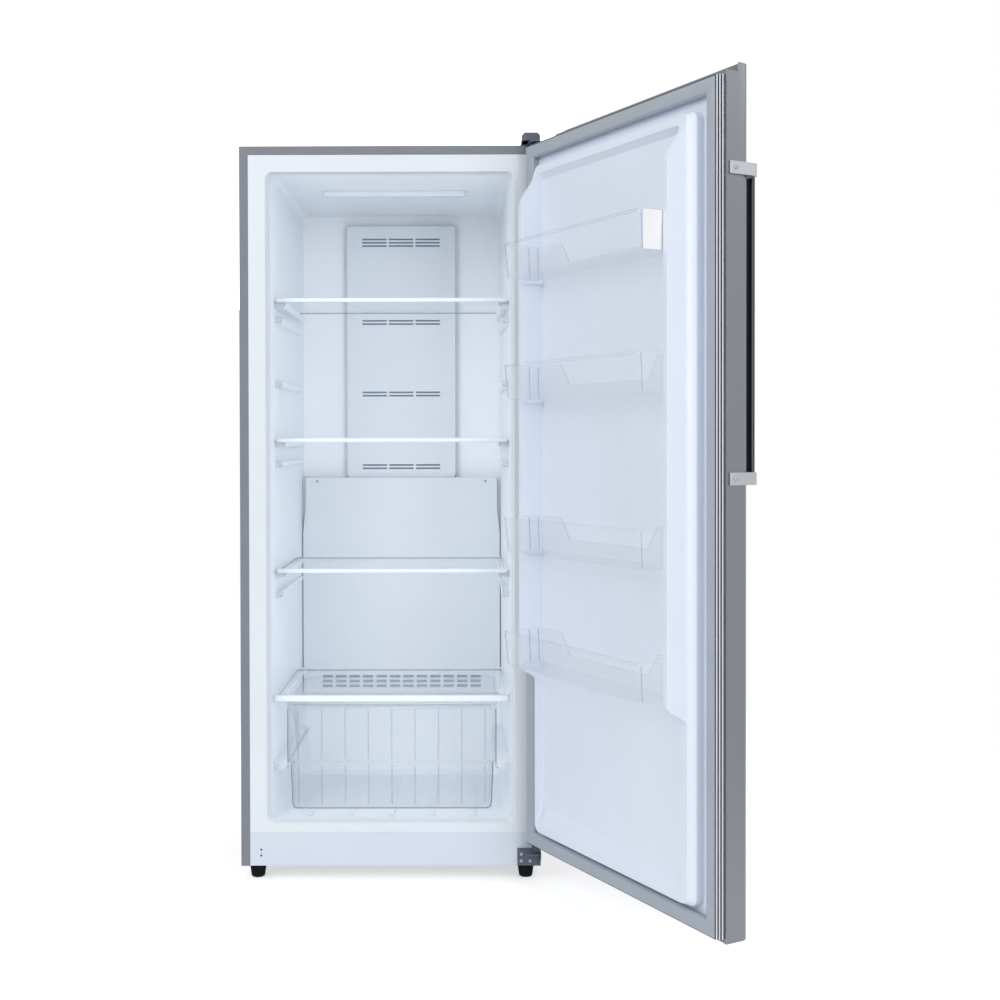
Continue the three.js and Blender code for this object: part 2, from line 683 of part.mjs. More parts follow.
function buildInnerLiner(group) {
  const hollow = compartment(0);
  const flangeHalf = halfWidth - shellFlange - seat;
  const flange = box(-flangeHalf, flangeHalf, 0, linerWall, kickTop + seat, topZ - shellFlange - seat);
  const tub = compartment(linerWall).intersect(
    box(-halfWidth, halfWidth, 0, cabinetDepth, bottomZ, topZ));
  const ribLow = floorAt(mouthDepth);
  const floorRibs = [-2, -1, 0, 1, 2].map((place) =>
    prism('X', [[mouthDepth + 8, ribLow - 3], [mouthDepth + 14, ribLow + 3],
      [humpFootY - 30, ribLow + 3], [humpFootY - 20, ribLow - 3]],
    place * openingHalf / 3 - 4, place * openingHalf / 3 + 4));
  const grown = compartment(linerWall / 2);
  const inside = join([...wallLedges(), ...floorRibs]).intersect(grown);
  const drainHole = cylinder('Z', drainX, drainY, drainRadius + seat, bayBottomZ - 10, bayBottomZ + 10, 12);
  const lineHole = cylinder('Z', suctionX, suctionY, suctionRadius + seat, bayBottomZ - 10,
    bayBottomZ + 10, 10);
  const body = cut(flange.add(tub).subtract(hollow).add(inside), [drainHole, lineHole]);
  addPart(group, 'inner_liner', body, whitePlastic);
}

function buildKickPanel(group) {
  const half = halfWidth - shellFlange - seat;
  const outline = [[0, bottomZ + 1], [15, bottomZ + 1], [15, bottomZ + 3], [linerWall, bottomZ + 3],
    [linerWall, kickTop - 2.4], [15, kickTop - 2.4], [15, kickTop], [0, kickTop]];
  const spareHoles = [0, 14].map((drop) =>
    cylinder('Y', -lowerHingeInnerX - 8, bottomZ + kickHeight / 2 - 1 - drop, 2.6, -1, linerWall + 1, 12));
  addPart(group, 'kick_panel', cut(prism('X', outline, -half, half), spareHoles), whitePlastic);
}

// ---------------------------------------------------------------------------------------------
// Rear wall of the compartment: air duct, evaporator and its fan
// ---------------------------------------------------------------------------------------------

// Horizontal slots in columns, as cutting tools.
function slots(centreX, centreZ, width, columns, bar, rows, rowPitch, height, frontY, backY) {
  const slotWidth = (width - bar * (columns - 1)) / columns;
  const tools = [];
  for (let row = 0; row < rows; row += 1) {
    const z = centreZ + (row - (rows - 1) / 2) * rowPitch;
    for (let column = 0; column < columns; column += 1) {
      const x = centreX - width / 2 + column * (slotWidth + bar);
      tools.push(box(x, x + slotWidth, frontY, backY, z - height / 2, z + height / 2));
    }
  }
  return tools;
}

function buildAirDuct(group) {
  const frontY = linerBackY - ductDepth;
  const bottom = coverTopZ + seat;
  const outside = loft([
    atY(roundedRectangle(-ductHalfWidth + 3, ductHalfWidth - 3, bottom, ductTopZ - 3, 8, 3), frontY),
    atY(roundedRectangle(-ductHalfWidth, ductHalfWidth, bottom, ductTopZ, 10, 3), frontY + 4),
    atY(roundedRectangle(-ductHalfWidth, ductHalfWidth, bottom, ductTopZ, 10, 3), linerBackY - seat),
  ]);
  const channel = box(-ductHalfWidth + 20, ductHalfWidth - 20, frontY + panelWall, linerBackY + 1,
    bottom - 1, ductTopZ - 16);
  const vents = ventRows.flatMap(([share, rows]) =>
    slots(0, atHeight(share), ventWidth, ventColumns, ventBar, rows, ventSlotPitch, ventSlotHeight,
      frontY - 1, frontY + panelWall + 1));
  addPart(group, 'air_duct_panel', cut(outside, [channel, ...vents]), whitePlastic);
}

function buildEvaporatorCover(group) {
  const frontY = linerBackY - coverDepth;
  const upperHalf = coverLowerHalf - coverNeck;
  const neckZ = coverTopZ - 90;
  const outline = (inset) => {
    const radius = coverCorner - inset;
    const points = [];
    for (let k = 0; k <= 3; k += 1) {
      const angle = (Math.PI / 6) * k;
      points.push([upperHalf - inset - radius + radius * Math.cos(angle),
        coverTopZ - inset - radius + radius * Math.sin(angle)]);
    }
    const left = points.map(([x, z]) => [-x, z]).reverse();
    const [low, wide] = [coverBottomZ + inset, coverLowerHalf - inset];
    return [...points, ...left, [-upperHalf + inset, neckZ], [-wide, neckZ - 60], [-wide, low],
      [wide, low], [wide, neckZ - 60], [upperHalf - inset, neckZ]];
  };
  const outside = prism('Y', outline(0), frontY, linerBackY - seat);
  const hollow = prism('Y', outline(panelWall), frontY + panelWall, linerBackY + 1);
  const airPassage = box(-ductHalfWidth + 22, ductHalfWidth - 22, frontY + panelWall + 12,
    linerBackY + 1, coverTopZ - panelWall - 1, coverTopZ + 1);
  const grille = slots(0, coverBottomZ + grilleRise, 2 * (bayHalfWidth - grilleSideGap), grilleColumns,
    grilleBar, grilleRows, grilleRowPitch, grilleSlotHeight, frontY - 1, frontY + panelWall + 1);
  const walls = compartment(-seat);
  const body = cut(outside, [hollow, airPassage, ...grille]).intersect(walls);
  addPart(group, 'evaporator_cover', body, whitePlastic);
}

function buildEvaporator(group) {
  const centreY = linerBackY + 18 + finDepth / 2;
  const pitch = coilHeight / coilPasses;
  const half = coilHalf;
  const corners = [];
  for (let pass = 0; pass < coilPasses; pass += 1) {
    const z = coilBottomZ + pitch * (pass + 0.5);
    const side = pass % 2 ? 1 : -1;
    corners.push([side * half, centreY, z], [-side * half, centreY, z]);
  }
  const serpentine = tube(bentRoute(corners, pitch * 0.48, 3), coilTubeRadius, 5);
  const fins = Array.from({ length: coilFins }, (_, i) => {
    const x = -half + pitch + ((2 * half - 2 * pitch) * i) / (coilFins - 1);
    return box(x - finThickness / 2, x + finThickness / 2, centreY - finDepth / 2,
      bayBackY - seat, coilBottomZ, coilBottomZ + coilHeight);
  });
  addPart(group, 'evaporator_coil', join([serpentine, ...fins]), aluminium);

  const heaterZ = coilBottomZ - heaterRadius - seat;
  const heaterHalf = half - 12;
  const heaterRise = coilHeight / 4;
  const heaterRoute = bentRoute([[-heaterHalf, centreY - 12, coilBottomZ + heaterRise],
    [-heaterHalf, centreY - 12, heaterZ], [heaterHalf, centreY - 12, heaterZ],
    [heaterHalf, centreY - 12, coilBottomZ + heaterRise]], 12);
  const heater = tube(heaterRoute, heaterRadius, 8).subtract(
    box(-half + pitch - 1, half - pitch + 1, 0, cabinetDepth, coilBottomZ - seat, topZ));
  addPart(group, 'defrost_heater', heater, darkSteel);
}

// Twisted blades on a hub, with its axis along +X through the origin.
function fanBlades(radius, hubRadius, width, blades, shaftRadius) {
  const parts = [cylinder('X', 0, 0, hubRadius, -width / 2, width / 2, 12)];
  for (let blade = 0; blade < blades; blade += 1) {
    const around = (blade * 2 * Math.PI) / blades;
    const stations = [hubRadius - 2, radius * 0.7, radius];
    const sections = stations.map((r) => {
      const chord = 0.62 * (radius - hubRadius) + 0.32 * r;
      const pitch = THREE.MathUtils.degToRad(58 - 26 * (r / radius));
      const corners = [[-0.5, -0.9], [0.5, -0.9], [0.5, 0.9], [-0.5, 0.9]];
      return corners.map(([along, thick]) => {
        const sweep = along * chord;
        const axial = sweep * Math.cos(pitch) + thick * Math.sin(pitch);
        const tangential = sweep * Math.sin(pitch) - thick * Math.cos(pitch);
        const limited = THREE.MathUtils.clamp(axial, -width / 2, width / 2);
        const angle = around + tangential / r;
        return new THREE.Vector3(limited, r * Math.cos(angle), r * Math.sin(angle));
      });
    });
    parts.push(loft(sections));
  }
  return join(parts).subtract(cylinder('X', 0, 0, shaftRadius, -width, width, 8));
}

const shaftRadius = 2.5;
const shaftClearance = 0.4;

function buildEvaporatorFan(group) {
  const motorFront = bayBackY - seat - 3 - motorLength;
  const plate = box(-75, 75, bayBackY - seat - 3, bayBackY - seat, evaporatorFanZ - 30,
    evaporatorFanZ + 30);
  const can = cylinder('Y', 0, evaporatorFanZ, motorRadius, motorFront, bayBackY - seat - 1);
  const shaft = cylinder('Y', 0, evaporatorFanZ, shaftRadius, motorFront - 24, motorFront + 1, 12);
  addPart(group, 'evaporator_fan_motor', join([plate, can, shaft]), darkPlastic);

  const width = 20;
  const blades = fanBlades(evaporatorFanRadius, 15, width, 5, shaftRadius + shaftClearance)
    .rotate([0, 0, 90])
    .translate([0, motorFront - seat - 1 - width / 2, evaporatorFanZ]);
  addPart(group, 'evaporator_fan', blades, darkPlastic);
}

function buildDrainTube(group) {
  const reachTop = bayBottomZ + 1;
  const reachBottom = bottomZ + 70;
  const outside = cylinder('Z', drainX, drainY, drainRadius, reachBottom, reachTop, 12);
  const bore = cylinder('Z', drainX, drainY, drainRadius - 1.5, reachBottom - 1, reachTop + 1, 12);
  addPart(group, 'drain_tube', outside.subtract(bore), greyPlastic);
}

// ---------------------------------------------------------------------------------------------
// Ceiling lamp
// ---------------------------------------------------------------------------------------------

function buildLamp(group) {
  const under = compartment(-seat);
  const [frontY, backY] = [lampY - lampDepth / 2, lampY + lampDepth / 2];
  const lowZ = ceilingAt(lampY) - lampHeight;
  const highZ = ceilingAt(0) + 1;
  const half = lampWidth / 2;
  const shade = loft([
    atZ(roundedRectangle(-half + 4, half - 4, frontY + 4, backY - 4, 6, 3), lowZ),
    atZ(roundedRectangle(-half, half, frontY, backY, 8, 3), lowZ + 4),
    atZ(roundedRectangle(-half, half, frontY, backY, 8, 3), highZ),
  ]);
  const hollow = box(-half + 8, half - 8, frontY + 5, backY - 5, lowZ + lampWall, highZ + 1);
  addPart(group, 'lamp_cover', shade.subtract(hollow).intersect(under), lampWhite);
  const board = box(-half + 14, half - 14, frontY + 8, backY - 8, ceilingAt(backY) - 3, highZ);
  addPart(group, 'lamp_board', board.intersect(under), boardGreen);
}

// ---------------------------------------------------------------------------------------------
// Machine room
// ---------------------------------------------------------------------------------------------

function buildCompressor(group) {
  const base = basePanTop + seat;
  const low = base + grommetHeight + 4;
  const r = compressorRadius;
  const high = low + compressorHeight;
  const can = turned([[0, low], [r * 0.55, low], [r * 0.86, low + 10], [r * 0.97, low + 32],
    [r, low + 60], [r, low + 92], [r * 0.96, high - 38], [r * 0.8, high - 14], [r * 0.45, high - 2],
    [0, high]], compressorX, compressorY, 18);
  const seamRing = turned([[0, low + 72], [r + 3, low + 72], [r + 3, low + 80], [0, low + 80]],
    compressorX, compressorY, 18);
  const [plateX, plateY, plateZ] = compressorPlate;
  const plate = box(compressorX - plateX / 2, compressorX + plateX / 2, compressorY - plateY / 2,
    compressorY + plateY / 2, base + grommetHeight, base + grommetHeight + plateZ);
  const grommets = [];
  for (const sideX of [-1, 1]) {
    for (const sideY of [-1, 1]) {
      grommets.push(cylinder('Z', compressorX + sideX * grommetPlaces[0],
        compressorY + sideY * grommetPlaces[1], 11, base, base + grommetHeight + 9, 8));
    }
  }
  const [relayX, relayY, relayZ] = relaySize;
  const relay = box(compressorX - r + 14 - relayX, compressorX - r + 14, compressorY - relayY / 2,
    compressorY + relayY / 2, low + 50, low + 50 + relayZ);
  const stub = cylinder('X', suctionY, stubZ, suctionRadius + 1.5, compressorX + r - 12,
    compressorX + r + 4, 10);
  const dischargeStub = cylinder('X', compressorY - 30, stubZ - dischargeDrop, suctionRadius + 1,
    compressorX + r - 25, compressorX + r + 2, 10);
  addPart(group, 'compressor', join([can, seamRing, plate, ...grommets, relay, stub, dischargeStub]),
    castBlack);
}

function buildCondenser(group) {
  const corners = [];
  let flip = 0;
  condenserX.forEach((x, layer) => {
    for (let pass = 0; pass < condenserPasses; pass += 1) {
      const step = layer ? condenserPasses - 1 - pass : pass;
      const z = condenserBottomZ + step * condenserPitch;
      const ends = flip % 2 ? [condenserBackY, condenserFrontY] : [condenserFrontY, condenserBackY];
      corners.push([x, ends[0], z], [x, ends[1], z]);
      flip += 1;
    }
  });
  const serpentine = tube(bentRoute(corners, condenserPitch * 0.46, 3), condenserTubeRadius, 5);
  const inset = 30;
  const bars = [condenserFrontY + inset, condenserBackY - inset].map((y) => box(
    condenserX[0] - 8, condenserX[condenserX.length - 1] + 8, y - 1, y + 1, basePanTop + 22,
    condenserBottomZ + condenserPitch * condenserPasses));
  const feet = [condenserFrontY + inset, condenserBackY - inset].map((y, i) => box(
    condenserX[0] - condenserFoot[0], condenserX[0] - 6, i ? y - 1 : y - condenserFoot[1],
    i ? y + condenserFoot[1] / 2 : y + 1, basePanTop + seat, basePanTop + seat + 2));
  const legs = [condenserFrontY + inset, condenserBackY - inset].map((y) => box(
    condenserX[0] - 20, condenserX[0] - 6, y - 1, y + 1, basePanTop + seat,
    basePanTop + condenserLegHeight));
  addPart(group, 'condenser_coil', join([serpentine, ...bars, ...feet, ...legs]), castBlack);
}

function buildCondenserFan(group) {
  const [x, y, z] = [condenserFanX, condenserFanY, condenserFanZ];
  const half = condenserFanRadius + 14;
  const shroud = box(x - 1, x + 1, y - half, y + half, basePanTop + seat, z + half)
    .subtract(cylinder('X', y, z, condenserFanRadius + 4, x - 2, x + 2, 20));
  const foot = box(x - 22, x + 1, y - half, y + half, basePanTop + seat, basePanTop + seat + 2);
  const can = cylinder('X', y, z, motorRadius, x - motorReach[0], x - motorReach[1]);
  const shaft = cylinder('X', y, z, shaftRadius, x - motorReach[1] - 1, x + 8, 12);
  const arms = [];
  for (const side of [-1, 1]) {
    const reach = condenserFanRadius + 8;
    const [low, high] = side < 0 ? [y - reach, y - motorRadius + 4] : [y + motorRadius - 4, y + reach];
    const back = x - (motorReach[0] + motorReach[1]) / 2 - armThickness / 2;
    arms.push(box(back, back + armThickness, low, high, z - 5, z + 5));
    const post = y + side * reach;
    arms.push(box(back, x, post - armThickness / 2, post + armThickness / 2, z - 5, z + 5));
  }
  addPart(group, 'condenser_fan_motor', join([shroud, foot, can, shaft, ...arms]), darkPlastic);

  const width = 22;
  const blades = fanBlades(condenserFanRadius, 18, width, 5, shaftRadius + shaftClearance)
    .translate([x - motorReach[1] + seat + 1 + width / 2, y, z]);
  addPart(group, 'condenser_fan', blades, darkPlastic);
}

function buildDripPan(group) {
  const low = basePanTop + seat;
  const [x0, x1, y0, y1] = [drainX - 45, drainX + 85, condenserFrontY + 36, condenserBackY - 36];
  const outside = loft([
    atZ(roundedRectangle(x0 + 3, x1 - 3, y0 + 3, y1 - 3, 8, 3), low),
    atZ(roundedRectangle(x0, x1, y0, y1, 10, 3), low + 20),
  ]);
  const hollow = loft([
    atZ(roundedRectangle(x0 + 5, x1 - 5, y0 + 5, y1 - 5, 7, 3), low + 2),
    atZ(roundedRectangle(x0 + 2, x1 - 2, y0 + 2, y1 - 2, 8, 3), low + 21),
  ]);
  addPart(group, 'drip_pan', outside.subtract(hollow), darkPlastic);
}

function buildRefrigerantLines(group) {
  const [x, y] = [drierX, condenserFrontY + 15];
  const low = basePanTop + seat;
  const drier = turned([[0, low + 40], [2.6, low + 40], [2.6, low + 52], [drierRadius, low + 60],
    [drierRadius, low + 130], [2.6, low + 138], [2.6, low + 150], [0, low + 150]], x, y, 10);
  const clip = box(x - drierReach[0], x - drierRadius + 1, y - 10, y + 10, low, low + 110);
  const clipFoot = box(x - drierReach[0], x + drierReach[1], y - 10, y + 10, low, low + 2);
  addPart(group, 'filter_drier', join([drier, clip, clipFoot]), copper);

  const stubEnd = compressorX + compressorRadius;
  const bend = 16;
  const suction = bentRoute([[stubEnd + 4 + seat, suctionY, stubZ], [suctionX, suctionY, stubZ],
    [suctionX, suctionY, bayBottomZ + 12]], 0.8 * (suctionX - stubEnd - 4), 5);
  addPart(group, 'suction_line', tube(suction, suctionRadius, 8), copper);

  const dischargeZ = stubZ - dischargeDrop;
  const dischargeX = x - 20;
  const inletY = condenserFrontY;
  const discharge = bentRoute([[stubEnd + 2 + seat, compressorY - 30, dischargeZ],
    [dischargeX, compressorY - 30, dischargeZ], [dischargeX, inletY - 8, dischargeZ - 20],
    [condenserX[0] - 40, inletY - 8, condenserBottomZ], [condenserX[0], inletY - 8, condenserBottomZ],
    [condenserX[0], inletY - seat, condenserBottomZ]].slice(0, 5), bend * 0.4, 4);
  addPart(group, 'discharge_line', tube(discharge, condenserTubeRadius, 6), copper);
}

function buildControlBox(group) {
  const low = basePanTop + seat;
  const [x0, x1, y0, y1] = [-halfWidth + 16, -halfWidth + 96, roomFrontY + 24, roomFrontY + 150];
  const body = loft([
    atZ(roundedRectangle(x0, x1, y0, y1, 5, 2), low + 0),
    atZ(roundedRectangle(x0, x1, y0, y1, 5, 2), low + 92),
    atZ(roundedRectangle(x0 + 3, x1 - 3, y0 + 3, y1 - 3, 4, 2), low + 96),
  ]);
  const vents = slots((x0 + x1) / 2, low + 60, 50, 1, 0, 4, 8, 3, y1 - 3, y1 + 3);
  addPart(group, 'control_box', cut(body, vents), darkPlastic);
}

const inletX = 65.5 - halfWidth;     // where the power cord comes in
const inletZ = bottomZ + 85;
const inletRadius = 9;

function buildCompressorCover(group) {
  const half = halfWidth - sheet - seat;
  const [low, high] = [basePanTop + seat, roomTopZ - seat];
  const [frontY, backY] = [cabinetDepth - 4 + seat, cabinetDepth - 2];
  const panel = box(-half, half, frontY, backY, low, high);
  const vents = [0, 1].flatMap((field) => slots(
    halfWidth * 0.155 + (field - 0.5) * (coverSlotWidth + 80), (low + high) / 2, coverSlotWidth, 2,
    coverSlotBar, coverSlotRows, coverSlotPitch, coverSlotHeight, frontY - 1, backY + 1));
  const gland = cylinder('Y', inletX, inletZ, inletRadius + seat, frontY - 1, backY + 1, 16);
  addPart(group, 'compressor_cover', cut(panel, [...vents, gland]), darkSteel);

  const sleeve = cylinder('Y', inletX, inletZ, inletRadius, frontY - 8, backY + 1, 12);
  const collar = cylinder('Y', inletX, inletZ, inletRadius + 4, backY + seat, backY + 6, 12);
  const nozzle = cylinder('Y', inletX, inletZ, inletRadius - 3, backY + 5, backY + 16, 12);
  const bore = cylinder('Y', inletX, inletZ, 3.6, frontY - 9, backY + 17, 8);
  addPart(group, 'power_gland', join([sleeve, collar, nozzle]).subtract(bore), blackRubber);
}

// ---------------------------------------------------------------------------------------------
// Feet and rollers
// ---------------------------------------------------------------------------------------------

function buildFeet(group) {
  const shoulder = bottomZ - seat;
  for (const [name, side] of [['left_foot', -1], ['right_foot', 1]]) {
    const body = turned([[0, 0], [footBottomRadius - 1.5, 0], [footBottomRadius, 1.5],
      [footTopRadius, shoulder - 5], [footTopRadius, shoulder - 1], [footTopRadius - 1, shoulder],
      [footStemRadius, shoulder], [footStemRadius, bottomZ + 38], [0, bottomZ + 38]],
    side * footX, footY, 16);
    addPart(group, name, body, blackRubber);
  }
}

function buildRollers(group) {
  for (const [name, side] of [['left_roller', -1], ['right_roller', 1]]) {
    const half = rollerWidth / 2;
    const r = rollerRadius;
    const wheel = loft([
      circle(0, 0, r - 1.5, 16).map(([y, z]) => new THREE.Vector3(-half, y, z)),
      circle(0, 0, r, 16).map(([y, z]) => new THREE.Vector3(-half + 2, y, z)),
      circle(0, 0, r, 16).map(([y, z]) => new THREE.Vector3(half - 2, y, z)),
      circle(0, 0, r - 1.5, 16).map(([y, z]) => new THREE.Vector3(half, y, z)),
    ]).subtract(cylinder('X', 0, 0, rollerPinRadius + 0.4, -half - 1, half + 1, 8));
    addPart(group, name, wheel.translate([side * rollerX, rollerY, rollerRadius]), darkPlastic);
  }
}

// ---------------------------------------------------------------------------------------------
// Shelves and drawer
// ---------------------------------------------------------------------------------------------

// A glass pane in a moulded front trim. The trim's slot holds the pane's front edge.
function buildShelf(group, glassName, trimName, topOfGlass, height, frontY) {
  const glassFront = frontY + 4;
  const glass = prism('Z', roundedRectangle(-glassHalf, glassHalf, glassFront, shelfBackY, 6, 2),
    topOfGlass - glassThickness, topOfGlass);
  addPart(group, glassName, glass, clearGlass);

  const top = topOfGlass + trimRise;
  const low = top - height;
  const backY = frontY + trimDepth;
  const half = linerHalfAt(backY) - trimSideGap;
  const slotLow = topOfGlass - glassThickness - seat;
  const profile = [[frontY, low + 2], [frontY + 2, low], [backY, low], [backY, slotLow],
    [glassFront - seat, slotLow], [glassFront - seat, topOfGlass + seat], [backY, topOfGlass + seat],
    [backY, top], [frontY + 2, top], [frontY, top - 2]];
  addPart(group, trimName, prism('X', profile, -half, half), whitePlastic);
}

function drawerShape(inset, topZ_) {
  const upper = (z) => atZ(roundedRectangle(-drawerHalfWidth + inset, drawerHalfWidth - inset,
    drawerFrontY + inset, drawerBackY - inset, 12 - inset, 3), z);
  const lowerHalf = drawerHalfWidth - drawerStep - inset;
  const lower = (z, taper) => atZ(roundedRectangle(-lowerHalf + taper, lowerHalf - taper,
    drawerFrontY + 4 + inset + taper / 2, drawerBackY - inset - taper, 14 - inset, 3), z);
  return join([
    loft([upper(drawerRunnerZ + inset), upper(topZ_)]),
    loft([lower(drawerBottomZ + inset, drawerTaper), lower(drawerRunnerZ + inset + 1, 0)]),
  ]);
}

function buildDrawer(group) {
  const tray = drawerShape(0, drawerTopZ).subtract(drawerShape(drawerWall, drawerTopZ + 1));
  const span = 2 * (drawerHalfWidth - 29);
  const ribs = [];
  for (let i = 0; i < drawerRibs; i += 1) {
    const x = -span / 2 + (span * i) / (drawerRibs - 1);
    ribs.push(box(x - 2, x + 2, drawerFrontY - 1.4, drawerFrontY + 1, drawerRunnerZ + 8, drawerTopZ - 10));
    ribs.push(box(x - 2, x + 2, drawerFrontY + 3.4, drawerFrontY + 7, drawerBottomZ + 14,
      drawerRunnerZ - 4));
  }
  const inner = drawerShape(drawerWall / 2, drawerTopZ + 1);
  const pull = prism('X', [[drawerFrontY + 1, drawerTopZ], [drawerFrontY - 7, drawerTopZ],
    [drawerFrontY - 9, drawerTopZ - 2], [drawerFrontY - 9, drawerTopZ - 9],
    [drawerFrontY - 7, drawerTopZ - 9], [drawerFrontY - 7, drawerTopZ - 3],
    [drawerFrontY + 1, drawerTopZ - 3]], -drawerHalfWidth + 14, drawerHalfWidth - 14);
  addPart(group, 'freezer_drawer', tray.add(join(ribs).subtract(inner)).add(pull), clearPlastic);
}

// ---------------------------------------------------------------------------------------------
// Hinges
// ---------------------------------------------------------------------------------------------

function buildHinges(group) {
  const axisY = -hingeFrontY;
  const inner = hingeX - hingeArm;
  const outer = hingeX + hingeInset - 1;
  const armOutline = [[outer, hingePlateBackY], [inner - 12, hingePlateBackY], [inner - 12, 6],
    [inner, 0]];
  for (let k = 0; k <= 8; k += 1) {
    const angle = Math.PI + (Math.PI * k) / 8;
    const reach = k === 8 ? Math.min(hingeArm, outer - hingeX) : hingeArm;
    armOutline.push([Math.min(hingeX + reach * Math.cos(angle), outer), axisY + hingeArm * Math.sin(angle)]);
  }
  const plate = prism('Z', armOutline.reverse(), topZ, topZ + hingePlate);
  const pin = cylinder('Z', hingeX, axisY, hingePinRadius, doorStepZ - hingePinLength, topZ + 1, 20);
  addPart(group, 'upper_hinge', plate.add(pin), darkSteel);

  const coverLow = topZ + hingePlate + seat;
  const outline = (inset) => roundedRectangle(inner - 14 + inset, outer - inset, axisY - 12 + inset,
    hingePlateBackY + 10 - inset, 9 - inset, 3);
  const cap = loft([
    atZ(outline(0), coverLow), atZ(outline(0), coverLow + hingeCoverHeight - 10),
    atZ(outline(5), coverLow + hingeCoverHeight - hingePlate - 1),
  ]);
  const hollow = box(inner - 14 + hingeCoverWall, outer - hingeCoverWall, axisY - 12 + hingeCoverWall + 4,
    hingePlateBackY + 10 - hingeCoverWall, coverLow - 1, coverLow + hingeCoverHeight - 14);
  const skirt = box(inner - 13, outer - 1, hingePlateBackY + 1, hingePlateBackY + 9, topZ + seat,
    coverLow + 2);
  addPart(group, 'hinge_cover', cap.subtract(hollow).add(skirt), darkPlastic);

  const lowTop = lowerHingeTopZ;
  const right = halfWidth - 1;
  const backPlate = box(lowerHingeInnerX, right, -hingePlate - seat, -seat, bottomZ + 2, lowTop);
  const shelfFront = axisY - 26;
  const shelfPlate = prism('Z', [[lowerHingeInnerX + 4, -seat], [lowerHingeInnerX + 4, -14],
    [lowerHingeInnerX + 16, shelfFront + 6], [lowerHingeInnerX + 24, shelfFront], [right - 8, shelfFront],
    [right, shelfFront + 8], [right, -seat]], lowTop - hingePlate, lowTop);
  const gusset = prism('X', [[-1, bottomZ + 3], [-1, lowTop - 1], [shelfFront + 9, lowTop - 1],
    [shelfFront + 9, lowTop - 12]], right - hingePlate, right);
  const pinLow = cylinder('Z', hingeX, axisY, hingePinRadius, lowTop - 1, doorBottomZ + hingePinLength, 20);
  const washer = cylinder('Z', hingeX, axisY, hingePinRadius + 6, lowTop - 1, doorBottomZ - seat, 20);
  addPart(group, 'lower_hinge', join([backPlate, shelfPlate, gusset, pinLow, washer]), darkSteel);
}

// ---------------------------------------------------------------------------------------------
// Door, built closed: x and y are measured from the hinge axis, +Y towards the cabinet
// ---------------------------------------------------------------------------------------------

const doorHingeSide = hingeInset;
const doorFreeSide = hingeInset - cabinetWidth;
const doorMiddleX = (doorHingeSide + doorFreeSide) / 2;
const sealY = hingeFrontY;                        // the cabinet's sealing plane
const doorInnerY = doorBackOffset;
const doorEdgeY = doorBackOffset - doorThickness;
const doorFrontY = doorEdgeY - doorBow;
const doorTopZ = doorStepZ + doorLip;

// Plan outline of the door, drawn in by `inset`, with its bowed front and round front corners.
function doorOutline(inset, backY = doorInnerY - inset) {
  const half = cabinetWidth / 2 - inset;
  const r = doorCorner - inset;
  const bowAt = (u) => doorEdgeY + inset - doorBow * (1 - (u / (half - r)) ** 2);
  const points = [[doorMiddleX + half, backY], [doorMiddleX - half, backY]];
  for (let k = 0; k <= 5; k += 1) {
    const angle = THREE.MathUtils.degToRad(180 + 18 * k);
    points.push([doorMiddleX - half + r + r * Math.cos(angle), doorEdgeY + inset + r + r * Math.sin(angle)]);
  }
  for (let k = 1; k < 20; k += 1) {
    const u = -(half - r) + (2 * (half - r) * k) / 20;
    points.push([doorMiddleX + u, bowAt(u)]);
  }
  for (let k = 0; k <= 5; k += 1) {
    const angle = THREE.MathUtils.degToRad(270 + 18 * k);
    points.push([doorMiddleX + half - r + r * Math.cos(angle), doorEdgeY + inset + r + r * Math.sin(angle)]);
  }
  return points;
}

// What is cut away above the step: the inner part along the whole door, and all of it by the hinge.
function aboveStep(z, backShift = 0) {
  const step = doorInnerY - lipBack + backShift;
  return join([
    box(doorFreeSide - 10, doorHingeSide + 10, step, doorInnerY + 10, z, doorTopZ + 10),
    box(-lipEnd, doorHingeSide + 10, doorFrontY - 10, doorInnerY + 10, z, doorTopZ + 10),
  ]);
}

function buildDoorSkin(group) {
  const outside = prism('Z', doorOutline(0), doorBottomZ, doorTopZ);
  const inside = prism('Z', doorOutline(doorSheet, doorInnerY + 1), doorBottomZ - 1, doorTopZ + 1);
  const returns = [doorFreeSide, doorHingeSide - 7].map((x) =>
    box(x + 0.2, x + 6.8, doorInnerY - doorSheet, doorInnerY, doorBottomZ, doorStepZ));
  const window = box(doorMiddleX - displayWidth / 2 - seat, doorMiddleX + displayWidth / 2 + seat,
    doorFrontY - 2, doorFrontY + 10, displayZ - displayHeight / 2 - seat, displayZ + displayHeight / 2 + seat);
  const skin = outside.subtract(inside).add(join(returns));
  addPart(group, 'door_skin', cut(skin, [aboveStep(doorStepZ), window]), stainless);
}

// The flat border of the door liner, grown by `grow`.
const borderInset = 9;
const linerBorder = (grow) => box(doorFreeSide + borderInset - grow, doorHingeSide - borderInset + grow,
  doorInnerY - linerWall - grow, doorInnerY + grow, doorBottomZ + borderInset - grow,
  doorStepZ - borderInset + grow);

